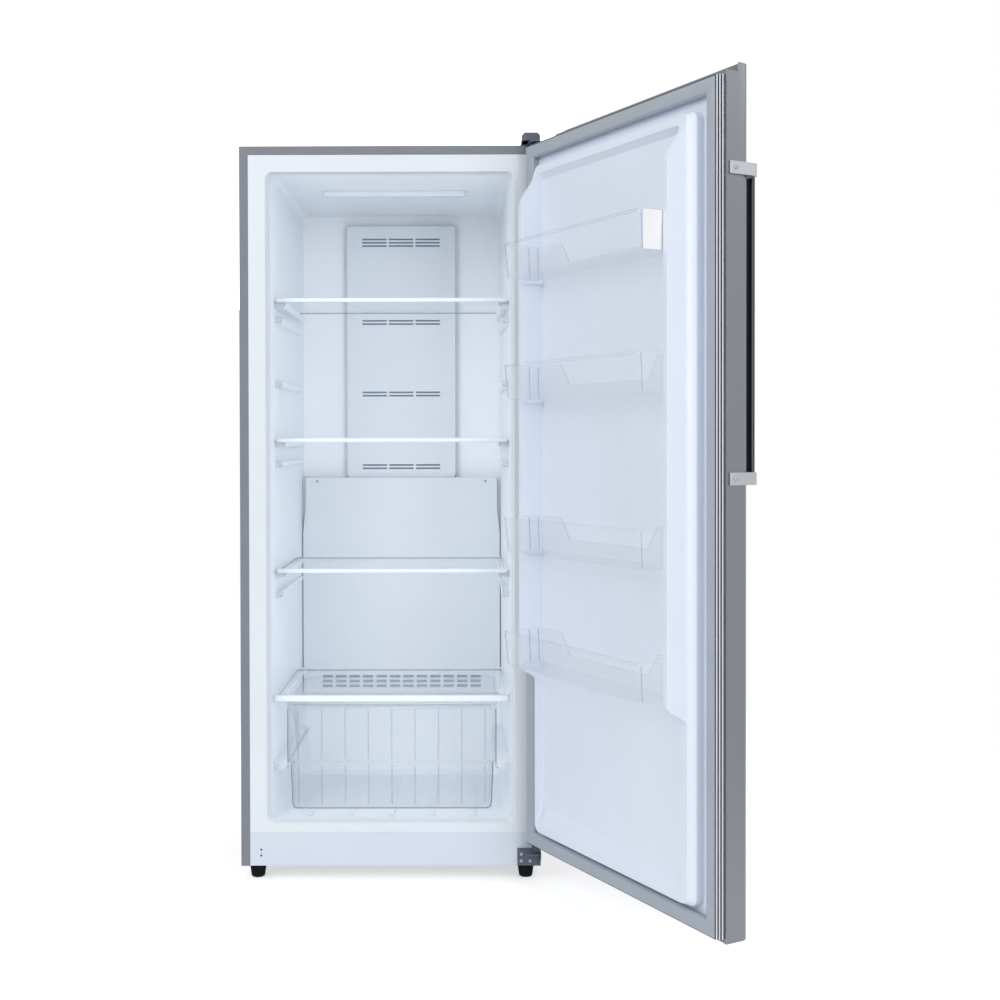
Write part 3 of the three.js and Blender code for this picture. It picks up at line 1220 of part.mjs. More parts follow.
function buildDoorCaps(group) {
  const inset = doorSheet + seat;
  const low = doorStepZ - capThickness;
  const lift = doorTopZ - 2;
  const top = prism('Z', doorOutline(inset), low, lift).subtract(aboveStep(doorStepZ, -3 + seat));
  const topBore = cylinder('Z', 0, 0, hingePinRadius + hingePinClearance,
    doorStepZ - hingePinLength - 1, doorStepZ + 1, 20);
  const returnsRoom = [doorFreeSide - 1, doorHingeSide - 8 - seat].map((x) =>
    box(x, x + 9 + seat, doorInnerY - doorSheet - seat, doorInnerY + 1, doorBottomZ - 1, doorTopZ));
  addPart(group, 'door_top_cap', cut(top, [topBore, ...returnsRoom, linerBorder(seat)]), greyPlastic);

  const bottom = prism('Z', doorOutline(inset), doorBottomZ, doorBottomZ + capThickness);
  const bottomBore = cylinder('Z', 0, 0, hingePinRadius + hingePinClearance, doorBottomZ - 1,
    doorBottomZ + hingePinLength + 1, 20);
  addPart(group, 'door_bottom_cap', cut(bottom, [bottomBore, ...returnsRoom, linerBorder(seat)]),
    greyPlastic);
}

// The raised part of the door liner, drawn in by `inset`: a low rim all round, two tall side
// walls whose ends rise and fall in S-curves, and a recessed panel between them.
function dikeOutline(inset) {
  const low = sealY + rimHeight - inset;
  const high = sealY + dikeHeight - inset;
  const steps = 8;
  const points = [];
  const curve = (from, to, start, end, shift) => {
    for (let k = 0; k <= steps; k += 1) {
      const part = k / steps;
      const ease = (1 - Math.cos(Math.PI * part)) / 2;
      points.push([start + (end - start) * ease, from + (to - from) * part + shift]);
    }
  };
  curve(dikeBottomZ[0], dikeBottomZ[1], low, high, inset);
  curve(dikeTopZ[0], dikeTopZ[1], high, low, -inset);
  points.push([0, dikeTopZ[1] - inset], [0, dikeBottomZ[0] + inset]);
  return points;
}

function doorPlug(inset) {
  const middleZ = (openingBottom + openingTop) / 2;
  const halfZ = (openingTop - openingBottom) / 2;
  const envelopeAt = (y) => {
    const depth = Math.max(y - sealY, 0);
    const shrink = plugClearance + plugDraft * depth + inset;
    const [side, end] = [shrink + mouthInset * mouthAt(depth), shrink + mouthSill * mouthAt(depth)];
    return atY(roundedRectangle(doorMiddleX - openingHalf + side, doorMiddleX + openingHalf - side,
      middleZ - halfZ + end, middleZ + halfZ - end, plugCorner - inset, 4), y);
  };
  const stations = [0, sealY, sealY + mouthDepth / 3, sealY + (2 * mouthDepth) / 3,
    sealY + mouthDepth, sealY + dikeHeight + 2];
  const envelope = loft(stations.map(envelopeAt));
  const rimTop = sealY + rimHeight - inset;
  const heights = join([
    box(doorFreeSide, doorHingeSide, -1, rimTop, doorBottomZ, doorTopZ),
    prism('X', dikeOutline(inset), doorFreeSide, doorHingeSide),
  ]);
  const pocketHalf = openingHalf - plugClearance - rimWidth + inset;
  const panelY = sealY + panelHeight - inset;
  const pocketAt = (y, slope) => atY(roundedRectangle(doorMiddleX - pocketHalf, doorMiddleX + pocketHalf,
    openingBottom + plugClearance + rimWidth - inset + 3 * slope,
    openingTop - plugClearance - rimWidth + inset - slope, 14 + inset, 4), y);
  const rimRise = rimHeight - panelHeight;
  const pocket = loft([pocketAt(panelY, rimRise), pocketAt(panelY + rimRise, 0),
    pocketAt(sealY + dikeHeight + 5, -5)]);
  return envelope.intersect(heights).subtract(pocket);
}

function binLugs() {
  const wallX = openingHalf - plugClearance - rimWidth;
  const lugs = [];
  for (const bottom of binBottoms) {
    for (const side of [-1, 1]) {
      const outer = doorMiddleX + side * (wallX + doorLinerWall / 2);
      const inner = doorMiddleX + side * (wallX - lugReach);
      const top = bottom - seat;
      lugs.push(box(Math.min(outer, inner), Math.max(outer, inner), sealY + panelHeight + 4,
        sealY + dikeHeight - 8, top - lugHeight, top));
    }
  }
  return lugs;
}

function buildDoorLiner(group) {
  const raised = doorPlug(0).intersect(
    box(doorFreeSide, doorHingeSide, doorInnerY - linerWall, sealY + 200, doorBottomZ, doorTopZ));
  const sheetSolid = linerBorder(0).add(raised).subtract(doorPlug(doorLinerWall));
  addPart(group, 'door_liner', sheetSolid.add(join(binLugs())), whitePlastic);
}

function buildDoorFoam(group) {
  const backY = doorInnerY - linerWall - seat;
  const slab = prism('Z', doorOutline(doorSheet + seat, backY), doorBottomZ + capThickness + seat,
    doorStepZ - capThickness - seat);
  const raised = doorPlug(doorLinerWall + seat).intersect(
    box(doorFreeSide, doorHingeSide, backY - 2, sealY + 200, doorBottomZ, doorTopZ));
  const pocketHalf = displayWidth / 2 + seat;
  const pocket = box(doorMiddleX - pocketHalf, doorMiddleX + pocketHalf, doorFrontY - 5, doorFrontY + 6,
    displayZ - displayHeight / 2 - seat, displayZ + displayHeight / 2 + seat);
  addPart(group, 'door_foam', slab.add(raised).subtract(pocket), foam);
}

// A soft ring with three folds in its outer side, mitred at its four corners.
function buildGasket(group) {
  const root = doorInnerY + seat;
  const face = sealY - seat;
  const fold = (face - root) / 3;
  const profile = [];
  for (let k = 0; k < 3; k += 1) {
    const low = root + fold * k;
    profile.push([gasketOuter + k + 2.6, low], [gasketOuter + k, low + fold * 0.25],
      [gasketOuter + k, low + fold * 0.75]);
  }
  profile.push([gasketOuter + 4.6, face], [gasketOuter + gasketWidth - 5, face],
    [gasketOuter + gasketWidth - 1, face - 4], [gasketOuter + gasketWidth - 3, root]);
  const corners = [[doorFreeSide, doorBottomZ, 1, 1], [doorHingeSide, doorBottomZ, -1, 1],
    [doorHingeSide, doorStepZ, -1, -1], [doorFreeSide, doorStepZ, 1, -1]];
  const positions = corners.flatMap(([x, z, inX, inZ]) =>
    profile.flatMap(([inset, y]) => [x + inX * inset, y, z + inZ * inset]));
  const index = [];
  const count = profile.length;
  for (let c = 0; c < 4; c += 1) {
    for (let i = 0; i < count; i += 1) {
      const [next, j] = [(c + 1) % 4, (i + 1) % count];
      const [a, b, d, e] = [c * count + i, c * count + j, next * count + j, next * count + i];
      index.push(a, b, d, a, d, e);
    }
  }
  const ring = new THREE.BufferGeometry();
  ring.setAttribute('position', new THREE.Float32BufferAttribute(positions, 3));
  ring.setIndex(index);
  addPart(group, 'door_gasket', solid(ring), gasketRubber);
}

function buildHandle(group) {
  const sideX = doorFreeSide - seat;
  const barX = doorFreeSide + handleInset;
  const barY = doorEdgeY - handleReach;
  const [w, d] = [handleBarWidth / 2, handleBarDepth / 2];
  const barOutline = [[-w, 0], [-w * 0.92, -d * 0.6], [-w * 0.7, -d], [-w * 0.24, -d],
    [-w * 0.14, -d * 0.4], [w * 0.14, -d * 0.4], [w * 0.24, -d], [w * 0.7, -d], [w * 0.92, -d * 0.6],
    [w, 0], [w * 0.92, d * 0.6], [w * 0.7, d], [-w * 0.7, d], [-w * 0.92, d * 0.6]]
    .map(([u, v]) => [barX + u, barY + v]);
  const half = handleStrapHeight / 2;
  addPart(group, 'handle_bar', prism('Z', barOutline, handleBottomZ - half, handleTopZ + half), stainless);

  // Each strap is screwed to the door's side, bends round its corner and ends behind the bar.
  const outer = sideX - handleStrapThickness;
  const legFrontY = barY + d + seat;
  const legBackY = legFrontY + handleStrapThickness;
  const backY = doorInnerY - 6;
  const outline = [[sideX, backY], [outer + 1, backY], [outer, backY - 1]];
  const bend = (radius, x, y, start, turn) => {
    for (let k = 0; k <= 4; k += 1) {
      const angle = start + (turn * k) / 4;
      outline.push([x + radius * Math.cos(angle), y + radius * Math.sin(angle)]);
    }
  };
  const [hubX, hubY] = [outer + handleStrapBend, legFrontY + handleStrapBend];
  bend(handleStrapBend, hubX, hubY, Math.PI, Math.PI / 2);
  outline.push([barX + w - 3, legFrontY], [barX + w - 3, legBackY]);
  bend(handleStrapBend - handleStrapThickness, hubX, hubY, 1.5 * Math.PI, -Math.PI / 2);
  const screwY = doorInnerY - handleScrewDepth;
  for (const [name, z] of [['upper', handleTopZ], ['lower', handleBottomZ]]) {
    const screwHole = cylinder('X', screwY, z, 2.4, outer - 1, sideX + 1, 8);
    addPart(group, `handle_strap_${name}`,
      prism('Z', outline, z - half, z + half).subtract(screwHole), stainless);
    const head = cylinder('X', screwY, z, 4.4, outer - 2.4, outer - seat, 12);
    const shank = cylinder('X', screwY, z, 2, outer - 1, sideX + 0.1, 8);
    addPart(group, `handle_screw_${name}`, head.add(shank), darkSteel);
  }
}

function buildDisplay(group) {
  const [w, h] = [displayWidth / 2, displayHeight / 2];
  const glass = prism('Y', roundedRectangle(doorMiddleX - w, doorMiddleX + w, displayZ - h, displayZ + h, 7, 4),
    doorFrontY - 0.6, doorFrontY - 0.6 + displayThickness);
  addPart(group, 'display_window', glass, blackGloss);
  const boardY = doorFrontY - 0.6 + displayThickness + seat;
  const board = box(doorMiddleX - w + 3, doorMiddleX + w - 3, boardY, boardY + 1.6, displayZ - h + 5,
    displayZ + h - 5);
  const chip = box(doorMiddleX - 8, doorMiddleX + 8, boardY + 1, boardY + 3.4, displayZ - 30, displayZ - 14);
  addPart(group, 'display_board', board.add(chip), boardGreen);
}

function buildBins(group) {
  const backY = sealY + panelHeight + 3;
  const half = openingHalf - plugClearance - rimWidth - binSideGap;
  const shape = (inset, low, high) => loft([
    atZ(roundedRectangle(doorMiddleX - half + binTaper + inset, doorMiddleX + half - binTaper - inset,
      backY + inset, backY + binDepth - 6 - inset, 14 - inset, 3), low),
    atZ(roundedRectangle(doorMiddleX - half + inset, doorMiddleX + half - inset, backY + inset,
      backY + binDepth - inset, 14 - inset, 3), high),
  ]);
  binBottoms.forEach((bottom, i) => {
    const top = bottom + binHeight;
    const [shoulderTop, shoulderFoot] = binShoulder.map((reach) => half - reach);
    const lowBack = prism('Y', [[-shoulderTop, top + 1], [-shoulderFoot, bottom + binBackHeight],
      [shoulderFoot, bottom + binBackHeight], [shoulderTop, top + 1]].map(([x, z]) => [doorMiddleX + x, z]),
    backY - 1, backY + binWall + 8);
    const tray = cut(shape(0, bottom, top), [shape(binWall, bottom + binWall, top + 1), lowBack]);
    const lip = prism('X', [[backY + binDepth - binWall, top - 5], [backY + binDepth + 2.5, top - 5],
      [backY + binDepth + 2.5, top], [backY + binDepth - binWall, top]],
    doorMiddleX - half + 16, doorMiddleX + half - 16);
    addPart(group, `door_bin_${i + 1}`, tray.add(lip), clearPlastic);
  });
}

// ---------------------------------------------------------------------------------------------
// The whole freezer
// ---------------------------------------------------------------------------------------------

const freezer = new THREE.Group();
const cabinet = new THREE.Group();
const door = new THREE.Group();
freezer.add(cabinet, door);

buildShell(cabinet);
buildBackPanel(cabinet);
buildBasePan(cabinet);
buildRoomWall(cabinet);
buildCabinetFoam(cabinet);
buildInnerLiner(cabinet);
buildKickPanel(cabinet);
buildAirDuct(cabinet);
buildEvaporatorCover(cabinet);
buildEvaporator(cabinet);
buildEvaporatorFan(cabinet);
buildDrainTube(cabinet);
buildLamp(cabinet);
buildCompressor(cabinet);
buildCondenser(cabinet);
buildCondenserFan(cabinet);
buildDripPan(cabinet);
buildRefrigerantLines(cabinet);
buildControlBox(cabinet);
buildCompressorCover(cabinet);
buildFeet(cabinet);
buildRollers(cabinet);
shelfHeights.forEach((height, i) =>
  buildShelf(cabinet, `shelf_glass_${i + 1}`, `shelf_trim_${i + 1}`, height, trimHeight, shelfFrontY));
buildShelf(cabinet, 'crisper_glass', 'crisper_trim', crisperShelfZ, crisperTrimHeight, crisperFrontY);
buildDrawer(cabinet);
buildHinges(cabinet);

buildDoorSkin(door);
buildDoorCaps(door);
buildDoorLiner(door);
buildDoorFoam(door);
buildGasket(door);
buildHandle(door);
buildDisplay(door);
buildBins(door);
door.position.set(hingeX, -hingeFrontY, 0);
door.rotation.z = THREE.MathUtils.degToRad(openAngle);

freezer.updateMatrixWorld(true);
const stored = new THREE.Box3().setFromObject(freezer, true);
freezer.position.set(-(stored.min.x + stored.max.x) / 2, -(stored.min.y + stored.max.y) / 2, 0);

export default freezer;
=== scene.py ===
"""The looks of an upright freezer that stands with its door open."""

import json
import math

import bmesh
import bpy
from mathutils import Matrix, Vector

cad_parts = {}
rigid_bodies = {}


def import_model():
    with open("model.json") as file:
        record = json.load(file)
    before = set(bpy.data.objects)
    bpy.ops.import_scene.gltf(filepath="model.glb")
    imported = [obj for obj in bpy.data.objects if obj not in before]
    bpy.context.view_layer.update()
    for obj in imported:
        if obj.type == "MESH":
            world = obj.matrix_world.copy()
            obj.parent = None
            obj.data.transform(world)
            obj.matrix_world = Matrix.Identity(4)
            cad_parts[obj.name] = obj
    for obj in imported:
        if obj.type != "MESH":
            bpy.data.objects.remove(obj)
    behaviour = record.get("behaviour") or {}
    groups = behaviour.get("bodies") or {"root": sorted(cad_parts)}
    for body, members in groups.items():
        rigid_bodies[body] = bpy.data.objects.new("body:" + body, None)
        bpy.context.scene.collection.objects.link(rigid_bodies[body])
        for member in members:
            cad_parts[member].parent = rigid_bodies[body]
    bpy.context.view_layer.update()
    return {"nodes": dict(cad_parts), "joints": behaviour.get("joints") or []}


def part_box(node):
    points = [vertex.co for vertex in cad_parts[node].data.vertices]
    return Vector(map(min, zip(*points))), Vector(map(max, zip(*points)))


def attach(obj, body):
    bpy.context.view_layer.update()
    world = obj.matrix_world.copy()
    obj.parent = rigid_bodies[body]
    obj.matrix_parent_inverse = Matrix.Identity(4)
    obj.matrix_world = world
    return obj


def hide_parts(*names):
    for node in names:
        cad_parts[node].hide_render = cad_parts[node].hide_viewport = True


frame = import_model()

CLOSED = 1e-5            # corners nearer than this are one corner, in metres
FLAT = 0.4               # faces that turn by less than this are one face, in degrees
SHARP = 32.0             # edges that turn by more than this are sharp, in degrees
BROAD = 0.012            # a face with a larger mean width stays flat, in metres
PANE_EDGE, TRAY_EDGE = 0.005, 0.0045       # narrower faces are edges of the glass, of the trays
LEDGE, LIP = 0.02, 0.006 # narrower faces are the tub's ledges, the gasket's lips
SLIVER = 5e-8            # a face with a smaller area takes its neighbour's normal, in square metres

# -------------------------------------------------------------------------------------------
# Where things are
# -------------------------------------------------------------------------------------------

shell_low, shell_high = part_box("outer_shell")
CABINET_X = (shell_low.x + shell_high.x) / 2
CABINET_Y = shell_low.y
joints = {joint["name"]: joint for joint in frame["joints"]}
HINGE = Vector(joints["door_hinge"]["pos_m"])
HINGE.z = 0.0
OPEN_ANGLE = -math.radians(joints["door_hinge"]["range_deg"][0])
DOOR_TURN = Matrix.Translation(HINGE) @ Matrix.Rotation(OPEN_ANGLE, 4, "Z")

DEPTH = 680.0            # millimetres from here on
BACK_WALL = 540.0
DOOR_FREE_SIDE = -699.0  # the door's own sides and planes, from the hinge axis
DOOR_MIDDLE = -343.5
DOOR_INNER, DOOR_FRONT = 7.0, -61.0
SEAL = 26.0
STRAP_OUTER = DOOR_FREE_SIDE - 4.3
STRAP_SCREW_DEPTH = DOOR_INNER - 20
STRAP_HEIGHTS = (1555.06, 969.94)
DISPLAY_LEFT, DISPLAY_TOP = DOOR_MIDDLE - 31.0, 1572.0     # of the window, as seen from the front
BIN_HALF = 262.0         # half a bin's width
BIN_BACK, BIN_DEPTH = SEAL + 7, 104.0
BIN_LEAN = 4.0           # how far a bin's end wall leans in from its top to its bottom
DRAWER_LOW, DRAWER_STEP, DRAWER_HIGH = 157.5, 270.5, 411.5


def in_cabinet(x, y, z):
    """A point in millimetres from the cabinet's middle, its sealing plane and the floor."""
    return Vector((CABINET_X + x / 1000, CABINET_Y + y / 1000, z / 1000))


def in_door(x, y, z):
    """A point in millimetres from the hinge axis, as if the door were closed: +y goes inwards."""
    return DOOR_TURN @ Vector((x / 1000, y / 1000, z / 1000))


def in_metres(*millimetres):
    return tuple(value / 1000 for value in millimetres)


# -------------------------------------------------------------------------------------------
# Finishes
# -------------------------------------------------------------------------------------------

NOISE_LOW, NOISE_HIGH = 0.3, 0.7      # a noise texture seldom leaves this range


def add_node(tree, kind, inputs=None, **settings):
    """A node with its settings, and with its inputs set or linked."""
    made = tree.nodes.new(kind)
    made.location = (-180 * len(tree.nodes), 200)
    for name, value in settings.items():
        setattr(made, name, value)
    for name, value in (inputs or {}).items():
        if isinstance(value, bpy.types.NodeSocket):
            tree.links.new(value, made.inputs[name])
        else:
            made.inputs[name].default_value = value
    return made


def ranged(tree, amount, start, stop, low, high, **settings):
    """A number that goes from low to high as amount goes from start to stop."""
    inputs = {"Value": amount, "From Min": start, "From Max": stop, "To Min": low, "To Max": high}
    return add_node(tree, "ShaderNodeMapRange", inputs, **settings).outputs[0]


class Finish:
    """One finish of the freezer: a surface and the textures that vary it."""

    def __init__(self, name, colour, roughness, metal=0.0, **sockets):
        self.material = bpy.data.materials.new(name)
        self.material.use_nodes = True
        self.tree = self.material.node_tree
        self.surface = self.tree.nodes["Principled BSDF"]
        self.colour = colour
        self.set("Base Color", (*colour, 1.0))
        self.set("Roughness", roughness)
        self.set("Metallic", metal)
        for socket, value in sockets.items():
            self.set(socket.replace("_", " "), value)

    def set(self, socket, value):
        self.surface.inputs[socket].default_value = value

    def node(self, kind, inputs=None, **settings):
        return add_node(self.tree, kind, inputs, **settings)

    def link(self, output, socket):
        self.tree.links.new(output, self.surface.inputs[socket])

    def place(self, stretch=(1, 1, 1), turn=0.0):
        """Object coordinates, turned about Z and then stretched."""
        coordinates = self.node("ShaderNodeTexCoord").outputs["Object"]
        turned = self.node("ShaderNodeMapping", {"Vector": coordinates, "Rotation": (0, 0, turn)})
        scaled = self.node("ShaderNodeMapping", {"Vector": turned.outputs[0], "Scale": stretch})
        return scaled.outputs[0]

    def noise(self, place, scale, detail=3.0, rough=0.5):
        inputs = {"Vector": place, "Scale": scale, "Detail": detail, "Roughness": rough}
        return self.node("ShaderNodeTexNoise", inputs).outputs[0]

    def mix(self, amount, first, second):
        """A colour that goes from the first to the second with amount."""
        # Sockets 6, 7 and 2 are the node's two colours and the mixed one.
        inputs = {0: amount, 6: first, 7: second}
        return self.node("ShaderNodeMix", inputs, data_type="RGBA").outputs[2]

    def vary_roughness(self, amount, low, high):
        self.link(ranged(self.tree, amount, NOISE_LOW, NOISE_HIGH, low, high), "Roughness")

    def tint(self, amount, low, high, base=None):
        """The colour, or another one, darker and lighter with amount."""
        ramp = self.node("ShaderNodeValToRGB", {0: amount})
        ends = zip(ramp.color_ramp.elements, (NOISE_LOW, NOISE_HIGH), (low, high))
        for element, position, factor in ends:
            element.position = position
            element.color = (*(min(1.0, channel * factor) for channel in base or self.colour), 1.0)
        return ramp.outputs[0]

    def emboss(self, height, distance, strength):
        inputs = {"Height": height, "Distance": distance, "Strength": strength}
        bump = self.node("ShaderNodeBump", inputs)
        self.link(bump.outputs[0], "Normal")


def moulded(name, colour, roughness, grain=1400.0, relief=0.00004, **sockets):
    """Moulded plastic: a faint cloudiness, uneven gloss and a fine texture."""
    finish = Finish(name, colour, roughness, **sockets)
    place = finish.place()
    finish.link(finish.tint(finish.noise(place, 7.0), 0.965, 1.02), "Base Color")
    finish.vary_roughness(finish.noise(place, 22.0), roughness * 0.88, roughness * 1.14)
    finish.emboss(finish.noise(place, grain, 2.0), relief, 0.6)
    return finish.material


def drawn_sheet(name, colour, roughness):
    """Vacuum-formed plastic: smooth and glossy, with the slow waves of a stretched sheet."""
    finish = Finish(name, colour, roughness)
    place = finish.place()
    finish.link(finish.tint(finish.noise(place, 4.0, 2.0), 0.985, 1.01), "Base Color")
    finish.vary_roughness(finish.noise(place, 15.0, 2.0), roughness * 0.9, roughness * 1.1)
    finish.emboss(finish.noise(place, 14.0, 1.0), 0.0012, 0.25)
    return finish.material


def brushed(name, colour, roughness, turn=0.0, along="z", depth=0.00006):
    """Brushed steel: long fine scratches along one direction."""
    finish = Finish(name, colour, roughness, 1.0)
    fine, coarse = {"z": ((900, 900, 6), (60, 60, 0.6)), "x": ((6, 900, 900), (0.6, 60, 60))}[along]
    scratch = finish.noise(finish.place(fine, turn), 1.0, 5.0, 0.65)
    broad = finish.noise(finish.place(coarse, turn), 1.0, 2.0)
    finish.link(finish.tint(broad, 0.985, 1.01), "Base Color")
    finish.vary_roughness(scratch, roughness * 0.92, roughness * 1.08)
    finish.emboss(scratch, depth, 0.5)
    return finish.material


def clear(name, colour, rim, roughness, facing, grazing):
    """Clear plastic or glass: bright where seen square on, denser and greyer at its edges."""
    finish = Finish(name, colour, roughness, IOR=1.5)
    weight = finish.node("ShaderNodeLayerWeight", {"Blend": 0.35}).outputs["Facing"]
    finish.link(ranged(finish.tree, weight, 0.35, 1.0, facing, grazing), "Alpha")
    place = finish.place()
    cloudy = finish.tint(finish.noise(place, 9.0), 0.97, 1.03)
    finish.link(finish.mix(weight, cloudy, (*rim, 1.0)), "Base Color")
    finish.emboss(finish.noise(place, 35.0, 2.0), 0.00025, 0.35)
    return finish.material


def sheet_lit_in_front(name, lit_flange, side):
    """Coated steel sheet with a fine texture, dark on its sides, with painted light on its front
    edge, which is lighter where it faces the front.
    """
    finish = Finish(name, lit_flange, 0.42, Specular_IOR_Level=0.12)
    place = finish.place()
    normal = finish.node("ShaderNodeTexCoord").outputs["Normal"]
    facing = finish.node("ShaderNodeSeparateXYZ", {0: normal}).outputs["Y"]
    # Painted light: faces that look to the front get the lighter colour.
    front = ranged(finish.tree, facing, -0.9, -0.5, 1.0, 0.0)
    mottled = finish.noise(place, 12.0)
    shades = [finish.tint(mottled, 0.97, 1.03, base) for base in (side, lit_flange)]
    finish.link(finish.mix(front, *shades), "Base Color")
    finish.vary_roughness(finish.noise(place, 250.0), 0.40, 0.44)
    finish.emboss(finish.noise(place, 900.0, 2.0), 0.00008, 0.4)
    return finish.material


def painted(name, colour, roughness, metal=0.3):
    """Metal with a thin coat or none: slightly mottled, with a fine texture."""
    finish = Finish(name, colour, roughness, metal)
    place = finish.place()
    finish.link(finish.tint(finish.noise(place, 18.0), 0.9, 1.08), "Base Color")
    finish.vary_roughness(finish.noise(place, 45.0), roughness * 0.85, roughness * 1.2)
    finish.emboss(finish.noise(place, 700.0, 2.0), 0.00008, 0.5)
    return finish.material


def spangled(name, colour):
    """Zinc-coated sheet: faint crystals and uneven gloss."""
    finish = Finish(name, colour, 0.45, 0.85)
    inputs = {"Vector": finish.place(), "Scale": 160.0}
    crystal = finish.node("ShaderNodeTexVoronoi", inputs).outputs["Color"]
    grey = finish.node("ShaderNodeRGBToBW", {0: crystal}).outputs[0]
    finish.link(finish.tint(grey, 0.94, 1.04), "Base Color")
    finish.vary_roughness(grey, 0.42, 0.48)
    return finish.material


def glowing(name, colour, strength):
    """Lit marks behind the display window."""
    finish = Finish(name, colour, 0.4, Emission_Color=(*colour, 1.0), Emission_Strength=strength)
    finish.link(finish.tint(finish.noise(finish.place(), 300.0), 0.94, 1.04), "Base Color")
    return finish.material


def dark_glass(name, colour):
    """Almost black glass with a slightly uneven gloss."""
    finish = Finish(name, colour, 0.06, Specular_IOR_Level=0.12)
    finish.vary_roughness(finish.noise(finish.place(), 30.0), 0.04, 0.09)
    return finish.material


# The near-black sides are the paint's own colour; the grey of the front flange is painted light
# from the front.
cabinet_paint_lit_front = sheet_lit_in_front("cabinet_paint_lit_front", (0.24, 0.255, 0.295), (0.010, 0.010, 0.0115))
door_steel = brushed("door_steel", (0.225, 0.235, 0.26), 0.36, -OPEN_ANGLE, "z", 0.00003)
strap_steel = brushed("strap_steel", (0.46, 0.48, 0.51), 0.36, -OPEN_ANGLE, "x")
# Painted reflection: one steel in two shades, dark where the bar mirrors a dark room, lighter on
# its front and inner faces where it mirrors a bright one.
bar_steel_dark_reflection = brushed("bar_steel_dark_reflection", (0.052, 0.055, 0.064), 0.36)
bar_front_light_reflection = brushed("bar_front_light_reflection", (0.36, 0.37, 0.39), 0.36)
hinge_paint = painted("hinge_paint", (0.095, 0.115, 0.145), 0.42)
zinc_sheet = spangled("zinc_sheet", (0.36, 0.37, 0.385))
liner_white = drawn_sheet("liner_white", (0.80, 0.845, 0.895), 0.34)
door_white = drawn_sheet("door_white", (0.79, 0.85, 0.955), 0.34)
panel_white = drawn_sheet("panel_white", (0.655, 0.705, 0.76), 0.40)
trim_white = drawn_sheet("trim_white", (0.60, 0.65, 0.70), 0.34)
# Painted shade: the tub's own plastic, darker on the front faces of its ledges.
ledge_front_shade = drawn_sheet("ledge_front_shade", (0.50, 0.54, 0.59), 0.34)
kick_white = drawn_sheet("kick_white", (0.71, 0.76, 0.86), 0.42)
cap_grey = moulded("cap_grey", (0.20, 0.215, 0.24), 0.5)
cap_dark = moulded("cap_dark", (0.080, 0.100, 0.130), 0.45, grain=1000.0, relief=0.00008)
# Dark plastic of the hidden parts; also painted into the strap screws' cross recesses as shade.
inner_dark_and_recess_shade = moulded("inner_dark_and_recess_shade", (0.035, 0.038, 0.042), 0.55)
window_black = dark_glass("window_black", (0.006, 0.007, 0.008))
bin_clear = clear("bin_clear", (0.86, 0.91, 0.97), (0.60, 0.66, 0.76), 0.10, 0.05, 0.30)
drawer_clear = clear("drawer_clear", (0.46, 0.51, 0.58), (0.42, 0.48, 0.56), 0.12, 0.14, 0.34)
drawer_edge = clear("drawer_edge", (0.20, 0.24, 0.31), (0.18, 0.22, 0.28), 0.12, 0.32, 0.62)
bin_edge = clear("bin_edge", (0.44, 0.50, 0.60), (0.30, 0.35, 0.44), 0.12, 0.42, 0.75)
shelf_glass = clear("shelf_glass", (0.80, 0.90, 0.92), (0.55, 0.66, 0.68), 0.04, 0.04, 0.20)
glass_edge = clear("glass_edge", (0.16, 0.21, 0.24), (0.10, 0.14, 0.17), 0.10, 0.70, 0.90)
# Painted shadow: the dark of the drawer's seam.
seam_shadow_grey = moulded("seam_shadow_grey", (0.10, 0.115, 0.15), 0.4)
# Painted shade: the blue-grey seen through the air slots.
slot_shade_grey = moulded("slot_shade_grey", (0.30, 0.37, 0.47), 0.6)
gasket_vinyl = moulded("gasket_vinyl", (0.40, 0.44, 0.50), 0.55, grain=900.0)
# Painted light on the one vinyl: the pale lips are painted highlights and the dark grooves are
# painted shadow.
gasket_lip_highlight = moulded("gasket_lip_highlight", (0.80, 0.83, 0.88), 0.5, grain=900.0)
gasket_groove_shadow = moulded("gasket_groove_shadow", (0.055, 0.062, 0.078), 0.7, grain=900.0)
foot_black = moulded("foot_black", (0.010, 0.010, 0.011), 0.75, Specular_IOR_Level=0.15)
foam_cream = moulded("foam_cream", (0.80, 0.70, 0.42), 0.9, grain=260.0, relief=0.0006)
enamel_black = painted("enamel_black", (0.018, 0.018, 0.02), 0.38, 0.2)
copper_tube = painted("copper_tube", (0.62, 0.30, 0.17), 0.32, 1.0)
bare_aluminium = painted("bare_aluminium", (0.66, 0.67, 0.68), 0.42, 1.0)
board_green = moulded("board_green", (0.03, 0.16, 0.09), 0.5)
lamp_lens = moulded("lamp_lens", (0.74, 0.79, 0.84), 0.22)
digit_blue = glowing("digit_blue", (0.015, 0.42, 0.62), 0.9)
icon_white = glowing("icon_white", (0.75, 0.85, 0.95), 0.8)
icon_dim = glowing("icon_dim", (0.22, 0.24, 0.26), 0.15)
# Painted reflection: the white patch on the top bin's end wall.
reflection_white = moulded("reflection_white", (0.93, 0.935, 0.94), 0.45, grain=500.0)
screw_steel = painted("screw_steel", (0.42, 0.43, 0.45), 0.34, 0.9)
lens_rib = moulded("lens_rib", (0.84, 0.87, 0.92), 0.22)

# -------------------------------------------------------------------------------------------
# Pieces
# -------------------------------------------------------------------------------------------


def new_piece(name, mesh, material, body, rounded=False):
    """Puts a mesh in the scene as a piece that moves with a body."""
    mesh.name = name
    piece = bpy.data.objects.new(name, mesh)
    bpy.context.scene.collection.objects.link(piece)
    mesh.materials.clear()
    mesh.materials.append(material)
    if rounded:
        mesh.shade_smooth()
        mesh.set_sharp_from_angle(angle=math.radians(35.0))
    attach(piece, body)
    return piece


def to_mesh(shape, name="shape"):
    mesh = bpy.data.meshes.new(name)
    shape.to_mesh(mesh)
    shape.free()
    return mesh


